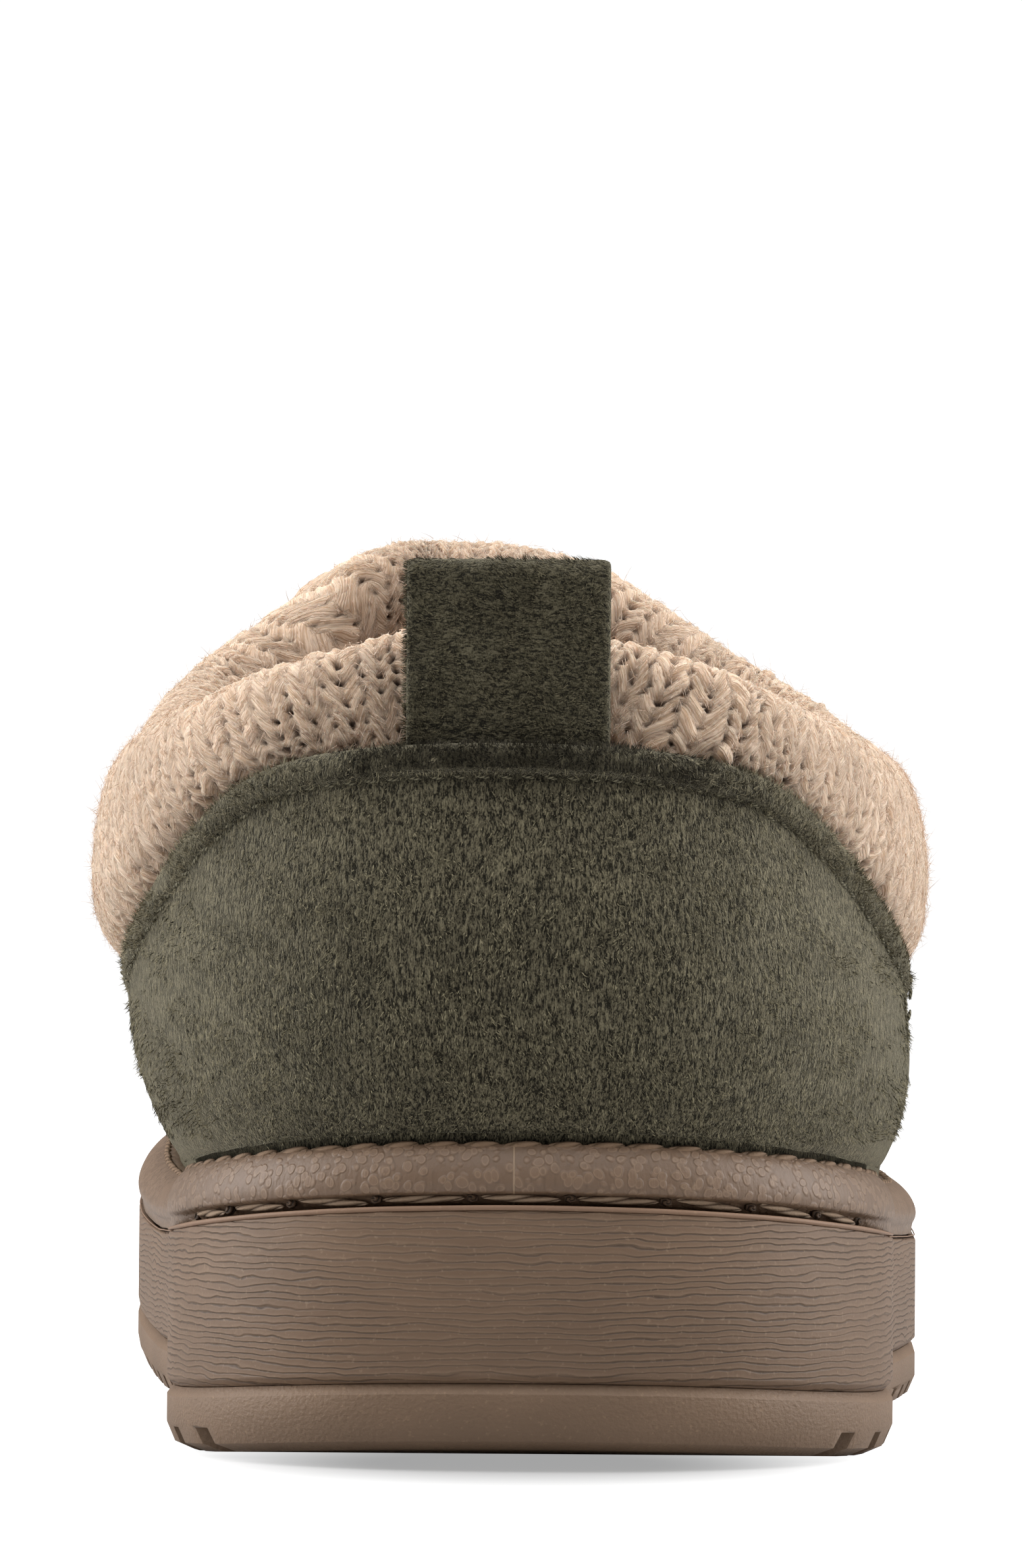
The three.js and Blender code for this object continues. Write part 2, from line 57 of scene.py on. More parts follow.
def pick(piece):
    deselectAll()
    piece.select_set(True)
    bpy.context.view_layer.objects.active = piece


def linear(hexColour):
    channels = [int(hexColour[i:i + 2], 16) / 255 for i in (0, 2, 4)]
    return [c / 12.92 if c <= 0.04045 else ((c + 0.055) / 1.055) ** 2.4 for c in channels] + [1.0]


# Scale of a pattern whose cells have these sizes in millimetres along x, y and z
def perMm(*cells):
    return [1 / (cell * mm) for cell in cells]


# One node with its settings, and a value or another node's output in each input, in order or by name
def addNode(tree, kind, inputs, settings=None, output=0):
    node = tree.nodes.new("ShaderNode" + kind)
    for key, value in (settings or {}).items():
        setattr(node, key, value)
    for key, value in inputs.items() if isinstance(inputs, dict) else enumerate(inputs):
        if isinstance(value, bpy.types.NodeSocket):
            tree.links.new(value, node.inputs[key])
        else:
            node.inputs[key].default_value = value
    return node.outputs[output] if node.outputs else node


# Camera, floor and light

cameraSettings = {
    "behind": 750 * mm,       # from the back of the sole
    "aside": -1.36 * mm,
    "height": 47.6 * mm,
    "lens": 166.4,
    "pitchUp": 1.8,
    "roll": 0.44,
    "clip": (0.05, 20),
}


def addCamera():
    s = cameraSettings
    low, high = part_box("midsole")
    back = Vector((s["aside"], low[1] - s["behind"], s["height"]))
    bpy.ops.object.camera_add(location=back)
    camera = bpy.context.object
    camera.name = "camera"
    camera.data.lens = s["lens"]
    camera.data.clip_start, camera.data.clip_end = s["clip"]
    tilt = Matrix.Rotation(math.radians(90 + s["pitchUp"]), 4, "X")
    roll = Matrix.Rotation(math.radians(s["roll"]), 4, "Z")
    camera.matrix_world = Matrix.Translation(back) @ tilt @ roll
    bpy.context.scene.camera = camera


# Two wide side panels, a weak one over the camera and an overhead dome, as in a light tent:
# the flanks are bright and the back is quieter
lightSettings = {
    "target": (0, -0.03, 0.05),
    "panels": {
        "leftPanel": {"size": 1.0, "energy": 17, "place": (-1.15, 0.12, 0.5)},
        "rightPanel": {"size": 1.0, "energy": 15, "place": (1.15, 0.12, 0.5)},
        "frontPanel": {"size": 1.2, "energy": 2.6, "place": (0.0, -1.0, 1.3)},
    },
    "dome": {"energy": 3.5, "angle": 85},
    "ambient": 0.16,          # how far the room lights the shoe
    "backdrop": 1.05,         # and how bright it looks itself: paper white
}


def addLights():
    s = lightSettings
    for name, panel in s["panels"].items():
        place = Vector(panel["place"])
        bpy.ops.object.light_add(type="AREA", location=place)
        lamp = bpy.context.object
        lamp.name = name
        lamp.data.energy = panel["energy"]
        lamp.data.size = panel["size"]
        lamp.rotation_euler = (Vector(s["target"]) - place).to_track_quat("-Z", "Y").to_euler()
    bpy.ops.object.light_add(type="SUN", location=(0, 0, 2))
    dome = bpy.context.object
    dome.name = "overheadDome"
    dome.data.energy = s["dome"]["energy"]
    dome.data.angle = math.radians(s["dome"]["angle"])
    world = bpy.context.scene.world or bpy.data.worlds.new("studio")
    bpy.context.scene.world = world
    world.use_nodes = True
    tree = world.node_tree
    background = tree.nodes["Background"]
    background.inputs["Color"].default_value = (1, 1, 1, 1)
    seen = addNode(tree, "LightPath", {}, output="Is Camera Ray")
    strength = addNode(tree, "MapRange", [seen, 0, 1, s["ambient"], s["backdrop"]])
    tree.links.new(strength, background.inputs["Strength"])
    bpy.context.scene.view_settings.view_transform = "Standard"


# Materials: settings that their nodes share
times, plus, minus, timesPlus = ({"operation": name} for name in ("MULTIPLY", "ADD", "SUBTRACT", "MULTIPLY_ADD"))
eased = {"interpolation_type": "SMOOTHSTEP"}
inColour = {"data_type": "RGBA"}


def newMaterial(name):
    material = bpy.data.materials.new(name)
    material.use_nodes = True
    material.node_tree.nodes.clear()
    return material, material.node_tree, addNode(material.node_tree, "TexCoord", {}, output="Object")


# Polyester microsuede, brushed: a short nap that lies in fine wavy strokes, light on dark, and never shines
def makeSuede(name, hemShadeColour, dark, mid, light, strokeSize=(0.27, 0.27, 0.95)):
    material, tree, place = newMaterial(name)
    strokes, fine, patches, wide = [
        addNode(tree, "TexNoise", {
            "Vector": addNode(tree, "Mapping", {"Vector": place, "Scale": perMm(*cells)}),
            "Scale": 1, "Detail": detail, "Distortion": distortion})
        for cells, detail, distortion in (
            (strokeSize, 2, 1), ((0.12, 0.12, 0.22), 2, 0), ((7, 7, 10), 3, 0.6), ((40, 40, 40), 2, 0))]
    nap = addNode(tree, "Math", [strokes, 0.65, addNode(tree, "Math", [fine, 0.35], times)], timesPlus)
    # painted shade: the counter's 'hem' values mix the near-black colour into the suede under the hem's edge and behind
    # the loop
    hem = addNode(tree, "Attribute", {}, {"attribute_name": "hem"}, "Fac")
    colour = linear(dark)
    for amount, over in (
            (addNode(tree, "MapRange", [nap, 0.43, 0.5], eased), mid),
            (addNode(tree, "MapRange", [nap, 0.49, 0.64, 0, 0.8], eased), light),
            (addNode(tree, "Math", [hem, 0.5], times), hemShadeColour)):
        colour = addNode(tree, "Mix", {0: amount, 6: colour, 7: linear(over)}, inColour, 2)
    shade = addNode(tree, "Math", [addNode(tree, "MapRange", [patches, 0.3, 0.7, 0.87, 1.13], eased),
                                   addNode(tree, "MapRange", [wide, 0.3, 0.7, -0.1, 0.1], eased)], plus)
    shader = addNode(tree, "BsdfPrincipled", {
        "Base Color": addNode(tree, "HueSaturation", {"Color": colour, "Value": shade}),
        "Normal": addNode(tree, "Bump", {"Strength": 1, "Distance": 0.5 * mm, "Height": nap}),
        "Roughness": 0.95, "Specular IOR Level": 0.12,
        "Sheen Weight": 0.75, "Sheen Roughness": 0.4, "Sheen Tint": linear("cfc7ae")})
    addNode(tree, "OutputMaterial", [shader])
    return material


# Moulded foam rubber: matt, with level wrinkles under a millimetre apart that split and run together, as in bark
def makeBarkFoam(name, colour, deep, crest, wrinkles=1.0, grain=0.3):
    material, tree, place = newMaterial(name)
    sway, waver, broken, faded, speck, flecks, tone = [
        addNode(tree, "TexNoise", {
            "Vector": addNode(tree, "Mapping", {"Vector": place, "Scale": perMm(*cells)}),
            "Scale": 1, "Detail": detail, "Distortion": distortion})
        for cells, detail, distortion in (
            ((30, 30, 9), 2, 0), ((5, 5, 1.6), 2, 0), ((9, 9, 1.1), 1, 0.3), ((24, 24, 12), 1, 0),
            ((0.5, 0.5, 0.4), 4, 0), ((0.5, 0.5, 0.5), 2, 0), ((18, 18, 11), 3, 0))]
    # the height in steps of 0.72 mm, moved up and down by a long and a short wave, and a dark line of painted shade at
    # each step with a painted highlight on the ridge just above it
    height = addNode(tree, "SeparateXYZ", [place], output=2)
    wave = addNode(tree, "Math", [addNode(tree, "MapRange", [sway, 0, 1, -1.5, 1.5]),
                                  addNode(tree, "MapRange", [waver, 0, 1, -0.75, 0.75])], plus)
    phase = addNode(tree, "Math", [height, 1 / (0.72 * mm), wave], timesPlus)
    saw = addNode(tree, "Math", [phase], {"operation": "FRACT"})
    broken = addNode(tree, "MapRange", [broken, 0.32, 0.5, 0.45, 1], eased)
    grooves = addNode(tree, "Math", [addNode(tree, "MapRange", [saw, 0, 0.2, 1, 0], eased),
                                     addNode(tree, "MapRange", [saw, 0.8, 1], eased)], {"operation": "MAXIMUM"})
    for share in (broken, addNode(tree, "MapRange", [faded, 0.34, 0.54, 0.6, 1], eased), wrinkles):
        grooves = addNode(tree, "Math", [grooves, share], times)
    ridgeHighlight = addNode(tree, "MapRange", [saw, 0.2, 0.55, 0.28 * wrinkles, 0], eased)
    # colour: painted shade in the grooves, a painted highlight on the ridges, and paler flecks at random
    base = linear(colour)
    for amount, over in (
            (addNode(tree, "Math", [grooves, 0.95], times), deep),
            (addNode(tree, "Math", [ridgeHighlight, broken], times), crest),
            (addNode(tree, "MapRange", [flecks, 0.62, 0.72, 0, 0.35], eased), crest)):
        base = addNode(tree, "Mix", {0: amount, 6: base, 7: linear(over)}, inColour, 2)
    tone = addNode(tree, "MapRange", [tone, 0.3, 0.7, 0.94, 1.06], eased)
    relief = addNode(tree, "Math", [addNode(tree, "Math", [speck, grain], times), grooves], minus)
    shader = addNode(tree, "BsdfPrincipled", {
        "Base Color": addNode(tree, "HueSaturation", {"Color": base, "Value": tone}),
        "Normal": addNode(tree, "Bump", {"Strength": 0.7, "Distance": 0.17 * mm, "Height": relief}),
        "Roughness": 0.6, "Specular IOR Level": 0.35})
    addNode(tree, "OutputMaterial", [shader])
    return material


# Embossed synthetic leather rolled over a cord: flat pebbles a millimetre wide, with a painted highlight round each rim
# and painted shade in the valleys, fine upright wrinkles between
def makeWeltLeather(name, colour, deep, crest):
    material, tree, place = newMaterial(name)
    pebbled, folds, speck = [
        addNode(tree, "TexNoise", {
            "Vector": addNode(tree, "Mapping", {"Vector": place, "Scale": perMm(*cells)}),
            "Scale": 1, "Detail": detail, "Distortion": distortion})
        for cells, detail, distortion in (((18, 18, 9), 2, 0), ((0.5, 0.5, 3.2), 2, 0.3), ((0.3, 0.3, 0.3), 3, 0))]
    pebbled = addNode(tree, "MapRange", [pebbled, 0.22, 0.38], eased)
    warp = addNode(tree, "TexNoise", {"Vector": place, "Scale": 1 / (2.6 * mm), "Detail": 1}, output=1)
    bent = addNode(tree, "VectorMath", [
        addNode(tree, "Mapping", {"Vector": place, "Scale": perMm(1.15, 1.15, 1.3)}), warp], plus)
    cell = addNode(tree, "TexVoronoi", {"Vector": bent, "Scale": 1, "Randomness": 0.8})
    rim = addNode(tree, "Math", [addNode(tree, "MapRange", [cell, 0.3, 0.37], eased),
                                 addNode(tree, "MapRange", [cell, 0.37, 0.43, 1, 0], eased)], times)
    valley, rim = [addNode(tree, "Math", [part, pebbled], times)
                   for part in (addNode(tree, "MapRange", [cell, 0.42, 0.58], eased), rim)]
    # butt seam of the strip: a fine upright line near the middle of the back
    across, along = [addNode(tree, "SeparateXYZ", [place], output=axis) for axis in (0, 1)]
    beside = addNode(tree, "Math", [addNode(tree, "Math", [across, 0.75 * mm], plus)], {"operation": "ABSOLUTE"})
    seam = addNode(tree, "Math", [addNode(tree, "MapRange", [beside, 0.07 * mm, 0.15 * mm, 1, 0], eased),
                                  addNode(tree, "Math", [along, 0], {"operation": "LESS_THAN"})], times)
    # colour: painted shade in the valleys and a painted highlight on the pebbles' rims, then darker folds and a paler
    # seam line
    base = linear(colour)
    for amount, over in (
            (addNode(tree, "Math", [valley, 0.25], times), deep),
            (addNode(tree, "Math", [rim, 0.24], times), crest),
            (addNode(tree, "MapRange", [folds, 0.52, 0.72, 0, 0.25], eased), deep),
            (addNode(tree, "Math", [seam, 0.5], times), crest)):
        base = addNode(tree, "Mix", {0: amount, 6: base, 7: linear(over)}, inColour, 2)
    relief = addNode(tree, "Math", [speck, 0.35, addNode(tree, "Math", [folds, 0.9], times)], timesPlus)
    for cut in (valley, seam):
        relief = addNode(tree, "Math", [relief, cut], minus)
    shader = addNode(tree, "BsdfPrincipled", {
        "Base Color": base,
        "Normal": addNode(tree, "Bump", {"Strength": 0.55, "Distance": 0.15 * mm, "Height": relief}),
        "Roughness": 0.52, "Specular IOR Level": 0.45})
    addNode(tree, "OutputMaterial", [shader])
    return material


# Waxed polyester cord: twisted plies that catch a dull light on their crowns, with loose fibres along each
def makeCord(name, colour, deep, plies):
    material, tree, place = newMaterial(name)
    across, along = [addNode(tree, "SeparateXYZ", [addNode(tree, "UVMap", {})], output=axis) for axis in (0, 1)]
    twist = addNode(tree, "Math", [across, 2, addNode(tree, "Math", [along, plies], times)], timesPlus)
    twist = addNode(tree, "Math", [addNode(tree, "Math", [twist, math.pi], times)], {"operation": "SINE"})
    fibre = addNode(tree, "TexNoise", {"Vector": place, "Scale": 1 / (0.2 * mm)})
    relief = addNode(tree, "Math", [fibre, 0.3, addNode(tree, "Math", [twist], {"operation": "ABSOLUTE"})], timesPlus)
    # the crowns of the plies take the paler colour, a painted highlight, and the deep colour between them is painted
    # shade
    crown = addNode(tree, "MapRange", [relief, 0.1, 0.8], eased)
    shader = addNode(tree, "BsdfPrincipled", {
        "Base Color": addNode(tree, "Mix", {0: crown, 6: linear(deep), 7: linear(colour)}, inColour, 2),
        "Normal": addNode(tree, "Bump", {"Strength": 0.9, "Distance": 0.3 * mm, "Height": relief}),
        "Roughness": 0.7, "Specular IOR Level": 0.3})
    addNode(tree, "OutputMaterial", [shader])
    return material


# Brushed acrylic yarn: soft, with paler streaks along each strand; the warm brown where a stitch dives under the next,
# and inside the shoe, is painted shade
def makeYarn(name, light, mid, deep):
    material, tree, place = newMaterial(name)
    depth, inside = [addNode(tree, "Attribute", {}, {"attribute_name": kind}, "Fac") for kind in ("depth", "inside")]
    lay = addNode(tree, "Attribute", {}, {"attribute_name": "strand"}, "Vector")
    drawn = addNode(tree, "Mapping", {"Vector": lay, "Scale": (4.5, 0.55, 1)})
    strand = addNode(tree, "TexNoise", {"Vector": drawn, "Scale": 1, "Detail": 3, "Distortion": 0.6})
    patches = addNode(tree, "TexNoise", {"Vector": place, "Scale": 1 / (7 * mm)})
    # painted shade: deep brown where the knit lies low between the stitches, and on the inside of the roll
    base = linear(mid)
    for amount, over in (
            (addNode(tree, "MapRange", [strand, 0.38, 0.6], eased), light),
            (addNode(tree, "MapRange", [depth, 0.2, 0.85], eased), deep),
            (addNode(tree, "Math", [inside, 0.4], times), deep)):
        base = addNode(tree, "Mix", {0: amount, 6: base, 7: linear(over)}, inColour, 2)
    tone = addNode(tree, "MapRange", [patches, 0.3, 0.7, 0.94, 1.05], eased)
    shader = addNode(tree, "BsdfPrincipled", {
        "Base Color": addNode(tree, "HueSaturation", {"Color": base, "Value": tone}),
        "Normal": addNode(tree, "Bump", {"Strength": 0.9, "Distance": 0.6 * mm, "Height": strand}),
        "Roughness": 0.95, "Specular IOR Level": 0.1,
        "Sheen Weight": 0.4, "Sheen Roughness": 0.6, "Sheen Tint": linear("fff0e2"),
        "Subsurface Weight": 0.35, "Subsurface Radius": (1.0, 0.7, 0.5), "Subsurface Scale": 1.2 * mm})
    addNode(tree, "OutputMaterial", [shader])
    return material


# Single acrylic or polyester fibres: matt, some paler than others
def makeFibre(name, light, mid):
    material, tree, place = newMaterial(name)
    cells = addNode(tree, "Mapping", {"Vector": place, "Scale": perMm(0.32, 0.32, 0.6)})
    tone = addNode(tree, "TexNoise", {"Vector": cells, "Scale": 1, "Detail": 1})
    paler = addNode(tree, "MapRange", [tone, 0.35, 0.65], eased)
    shader = addNode(tree, "BsdfPrincipled", {
        "Base Color": addNode(tree, "Mix", {0: paler, 6: linear(mid), 7: linear(light)}, inColour, 2),
        "Roughness": 0.85, "Specular IOR Level": 0.2})
    addNode(tree, "OutputMaterial", [shader])
    return material


# Polyester fleece, tumbled: short curls in soft light and dark knots, on the footbed and inside the upper
def makeFleece(name, light, deep):
    material, tree, place = newMaterial(name)
    curls = addNode(tree, "TexNoise", {"Vector": place, "Scale": 1 / (1.7 * mm), "Detail": 4, "Distortion": 1.6})
    crown = addNode(tree, "MapRange", [curls, 0.35, 0.65], eased)
    shader = addNode(tree, "BsdfPrincipled", {
        "Base Color": addNode(tree, "Mix", {0: crown, 6: linear(deep), 7: linear(light)}, inColour, 2),
        "Normal": addNode(tree, "Bump", {"Strength": 0.9, "Distance": 1.2 * mm, "Height": curls}),
        "Roughness": 0.97, "Specular IOR Level": 0.1, "Sheen Weight": 0.4, "Sheen Roughness": 0.6})
    addNode(tree, "OutputMaterial", [shader])
    return material


floorLook = {
    "size": 6,
    "place": (0, 1.2, 0),
    "bounced": "bcbcbc",                # what it throws back on the shoe
    "seen": "7c7c7c",
    "shadowPaintedAt": -0.12,                     # painted shadow: the sheet glows less round the heel, as far as this each way
    "shadowPaintedReach": (0.038, 0.05),
    "glow": (0.35, 1.25, 0.37, 1.1),    # from this share of that reach to this one: least and most glow
}


# Matt white paper that also glows to the camera, so that no edge or horizon shows; round the heel the glow is dimmed in
# a painted shadow
def makePaper(name):
    s = floorLook
    material, tree, place = newMaterial(name)
    seen = addNode(tree, "LightPath", {}, output="Is Camera Ray")
    across, along = s["shadowPaintedReach"]
    shifted = addNode(tree, "Mapping", {
        "Vector": place, "Location": (0, (s["place"][1] - s["shadowPaintedAt"]) / along, 0), "Scale": (1 / across, 1 / along, 0)})
    away = addNode(tree, "VectorMath", [shifted], {"operation": "LENGTH"}, 1)
    # painted shadow: the glow is least round the heel and full further off
    glow = addNode(tree, "Math", [seen, addNode(tree, "MapRange", [away, *s["glow"]], eased)], times)
    colour = addNode(tree, "Mix", {0: seen, 6: linear(s["bounced"]), 7: linear(s["seen"])}, inColour, 2)
    shader = addNode(tree, "BsdfPrincipled", {
        "Base Color": colour, "Roughness": 0.9, "Emission Color": (1, 1, 1, 1), "Emission Strength": glow})
    addNode(tree, "OutputMaterial", [shader])
    return material


suede = makeSuede("microsuedeOlive", "14130e", "18160f", "4b4638", "7b745e")
suedeHem = makeSuede("microsuedeHem", "14130e", "25231a", "4a4636", "66604b")
# the loop's suede is a darker copy of the counter's: painted shade
suedeTab = makeSuede("microsuedeTabShade", "14130e", "1a1812", "403c2e", "686250", (0.8, 0.27, 0.3))
soleFoam = makeBarkFoam("barkFoam", "6d5745", "3c2c20", "8f7862")
treadRubber = makeBarkFoam("treadRubber", "735d4a", "4a392c", "92795f", 0.06, 1.3)
lipRubber = makeBarkFoam("lipRubber", "806551", "6b5341", "967c66", 0.0)
weltLeather = makeWeltLeather("weltLeather", "735c49", "4a3828", "a1896f")
threadBrown = makeCord("waxedCord", "a58d76", "5c4938", 3)
cordTop = makeCord("waxedCordTop", "7e6650", "5b4835", 2)
threadGreen = makeCord("polyThread", "7f7963", "3c392c", 4)
knotBrown = makeCord("threadKnot", "54402f", "2a1f17", 3)
yarn = makeYarn("brushedYarn", "ead0b8", "c8a88b", "5e4230")
fibreYarn = makeFibre("looseYarnFibre", "ead4c0", "ae8e74")
fleece = makeFleece("curlyFleece", "cdb39c", "98806c")
napFibre = makeFibre("suedeNap", "8f876d", "1c1a12")
# lit and shaded copies of the hem's nap: painted light on its sides, painted shade across the middle of the back
napFibreLitCopy = makeFibre("suedeNapHemLit", "9a9178", "454032")
napFibreShadedCopy = makeFibre("suedeNapBackShade", "4a4537", "1f1c15")
# darker copy of the nap for the loop: painted shade
napFibreTabShade = makeFibre("suedeNapTabShade", "6c6550", "242118")
paper = makePaper("paperSweep")
print("materials made")


# Pieces that start from the solids


# A copy of a CAD node with its corners merged and its triangles paired, ready to be shaped
def copyNode(node, name):
    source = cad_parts[node]
    piece = bpy.data.objects.new(name, source.data.copy())
    bpy.context.collection.objects.link(piece)
    piece.data.materials.clear()
    pick(piece)
    bpy.ops.object.mode_set(mode="EDIT")
    bpy.ops.mesh.select_all(action="SELECT")
    bpy.ops.mesh.remove_doubles(threshold=0.01 * mm)
    bpy.ops.mesh.tris_convert_to_quads(face_threshold=math.radians(60), shape_threshold=math.radians(60))
    bpy.ops.object.mode_set(mode="OBJECT")
    return piece


# Closes seams whose corners lie this close and turns every face outwards
def faceOutwards(piece, merge=0.0):
    pick(piece)
    bpy.ops.object.mode_set(mode="EDIT")
    bpy.ops.mesh.select_all(action="SELECT")
    if merge:
        bpy.ops.mesh.remove_doubles(threshold=merge)
    bpy.ops.mesh.normals_make_consistent(inside=False)
    bpy.ops.object.mode_set(mode="OBJECT")


def applyModifier(piece, kind, settings):
    pick(piece)
    modifier = piece.modifiers.new("step", kind)
    for key, value in settings.items():
        setattr(modifier, key, value)
    bpy.ops.object.modifier_apply(modifier=modifier.name)


def smoothOut(piece, levels):
    applyModifier(piece, "SUBSURF", {"levels": levels, "render_levels": levels})
    bpy.ops.object.shade_smooth()


def roundEdges(piece, width, angle=32, segments=2):
    applyModifier(piece, "BEVEL", {"width": width, "segments": segments, "limit_method": "ANGLE",
                                   "angle_limit": math.radians(angle), "use_clamp_overlap": True,
                                   "miter_outer": "MITER_ARC"})
    bpy.ops.object.shade_smooth_by_angle(angle=math.radians(50))


def dress(piece, materials, nodes=()):
    for material in materials:
        piece.data.materials.append(material)
    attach(piece, "root")
    if nodes:
        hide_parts(*nodes)


def treeOf(piece):
    return BVHTree.FromObject(piece, bpy.context.evaluated_depsgraph_get())


def meshPiece(name, points, faces):
    mesh = bpy.data.meshes.new(name)
    mesh.from_pydata(np.asarray(points).tolist(), [], np.asarray(faces).tolist())
    mesh.update()
    piece = bpy.data.objects.new(name, mesh)
    bpy.context.collection.objects.link(piece)
    pick(piece)
    bpy.ops.object.shade_smooth()
    return piece


# Copies of one modelled shape at these places, each with its own mesh, joined to one piece; the first one goes
def gather(master, places, name):
    copies = []
    for place in places:
        one = bpy.data.objects.new(name, master.data.copy())
        one.data.transform(place)
        bpy.context.collection.objects.link(one)
        copies.append(one)
    deselectAll()
    for one in copies:
        one.select_set(True)
    bpy.context.view_layer.objects.active = copies[0]
    bpy.ops.object.join()
    piece = bpy.context.object
    piece.name = name
    bpy.ops.object.shade_smooth()
    removePiece(master)
    return piece


def removePiece(piece):
    bpy.data.objects.remove(piece, do_unlink=True)


def unit(v):
    v = np.asarray(v, float)
    return v / np.maximum(np.linalg.norm(v, axis=-1, keepdims=True), 1e-12)


# Rounded step from 0 to 1 of a share that may pass both
def ease(share):
    share = np.clip(share, 0, 1)
    return share * share * (3 - 2 * share)


# Each row of a closed ring moved towards its neighbours
def evenOut(rows, times):
    rows = np.array(rows)
    for _ in range(times):
        rows = (np.roll(rows, 1, 0) + 2 * rows + np.roll(rows, -1, 0)) / 4
    return rows


# Faces between the columns of a closed ring of points
def ringFaces(index):
    following = np.roll(index, -1, 0)
    return np.stack([index[:, :-1], index[:, 1:], following[:, 1:], following[:, :-1]], -1).reshape(-1, 4)


# Where a stitch stands: its place and its width, depth and length directions
def standAt(place, directions, size=(1, 1, 1)):
    turn = Matrix([np.array(direction) * by for direction, by in zip(directions, size)]).transposed()
    return Matrix.Translation(Vector(place)) @ turn.to_4x4()


# Width, depth and length directions of a stitch that runs along a seam and rises by some degrees
def leanAlong(along, degrees):
    out = unit(np.cross(along, (0, 0, 1)))
    tilt = math.radians(degrees)
    run = unit(along * math.cos(tilt) + np.array((0, 0, 1)) * math.sin(tilt))
    depth = unit(np.cross(run, np.cross(out, run)))
    return np.cross(depth, run), depth, run


# Even steps along a closed or open line of points: places and directions
def evenSteps(line, pitch, closed=True):
    line = np.asarray(line, float)
    if closed:
        line = np.vstack([line, line[:1]])
    gone = np.concatenate([[0], np.cumsum(np.linalg.norm(np.diff(line, axis=0), axis=1))])
    count = max(3, round(gone[-1] / pitch))
    at = np.arange(count) * gone[-1] / count if closed else np.linspace(0, gone[-1], count)

    def where(t):
        t = t % gone[-1] if closed else np.clip(t, 0, gone[-1])
        return np.stack([np.interp(t, gone, line[:, i]) for i in range(3)], 1)

    step = 0.6 * mm
    return where(at), unit(where(at + step) - where(at - step))


# Stations round the shoe: a point on its middle line and the level direction outwards, from the middle of the back
def planStations(step=1.2 * mm, heelY=-88 * mm, toeY=80 * mm):
    side = np.linspace(heelY, toeY, round((toeY - heelY) / step), endpoint=False)
    quarter = np.linspace(0, 90, 60, endpoint=False)
    stations = ([(heelY, a - 90) for a in quarter] + [(y, 0) for y in side]
                + [(toeY, a) for a in np.linspace(0, 180, 120, endpoint=False)]
                + [(toeY + heelY - y, 180) for y in side] + [(heelY, a + 180) for a in quarter])
    return [(np.array([0.0, y, 0.0]), np.array([math.cos(math.radians(a)), math.sin(math.radians(a)), 0.0]))
            for y, a in stations]


# How far out the first surface lies at a height, seen from outside along a station
def reachAt(tree, station, height):
    origin, out = station
    start = origin + out * 0.2
    place, normal, face, distance = tree.ray_cast(Vector((start[0], start[1], height)), Vector(-out), 0.2)
    return None if place is None else 0.2 - distance


def placeAt(station, reach, height):
    origin, out = station
    place = origin + out * reach
    return np.array([place[0], place[1], height])


# Loose fibres: narrow ribbons that taper and curl, each from its root
def addFibres(name, roots, normals, directions, lengths, width, curl, segments=3):
    count = len(roots)
    t = np.linspace(0, 1, segments + 1)[None, :, None]
    bend = unit(rng.normal(size=(count, 3)))[:, None, :]
    length = lengths[:, None, None]
    spine = (roots[:, None, :] + directions[:, None, :] * length * t + bend * length * curl * t ** 2)
    facing = unit(normals + 0.5 * rng.normal(size=(count, 3)))
    side = unit(np.cross(directions, facing))[:, None, :] * width / 2 * (1 - 0.8 * t)
    points = np.stack([spine - side, spine + side], 2).reshape(-1, 3)
    start = (np.arange(count) * (segments + 1) * 2)[:, None] + np.arange(segments)[None, :] * 2
    faces = np.stack([start, start + 1, start + 3, start + 2], 2).reshape(-1, 4)
    return meshPiece(name, points, faces)


addCamera()
bpy.ops.mesh.primitive_plane_add(size=floorLook["size"], location=floorLook["place"])
floor = bpy.context.object
floor.name = "floor"
floor.data.materials.append(paper)
addLights()
print("camera, floor and light set")

# Sole: the tread rubber and the wrinkled foam, with the rolled welt as a guide for its bead
soleLook = {
    "treadEdge": 0.45 * mm,
    "foamEdge": 0.4 * mm,
    "nearFoam": 0.6 * mm,     # the rubber this close under the foam is raised to meet it
    "raise": 0.24 * mm,
}
outsole = copyNode("outsole", "outsoleRubber")
foamTree = treeOf(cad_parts["midsole"])
for v in outsole.data.vertices:
    if foamTree.find_nearest(v.co)[3] < soleLook["nearFoam"]:
        v.co.z += soleLook["raise"]
roundEdges(outsole, soleLook["treadEdge"])
dress(outsole, [treadRubber], ["outsole"])

midsole = copyNode("midsole", "midsoleFoam")
roundEdges(midsole, soleLook["foamEdge"])
dress(midsole, [soleFoam], ["midsole"])

weltBase = copyNode("welt", "weltBase")
smoothOut(weltBase, 2)

insole = copyNode("insole", "footbed")
smoothOut(insole, 2)
dress(insole, [fleece], ["insole"])

upper = copyNode("upper", "suedeUpper")
smoothOut(upper, 2)
dress(upper, [suede, fleece], ["upper"])

binding = copyNode("topline_binding", "suedeBinding")
smoothOut(binding, 2)
dress(binding, [suedeHem], ["topline_binding"])

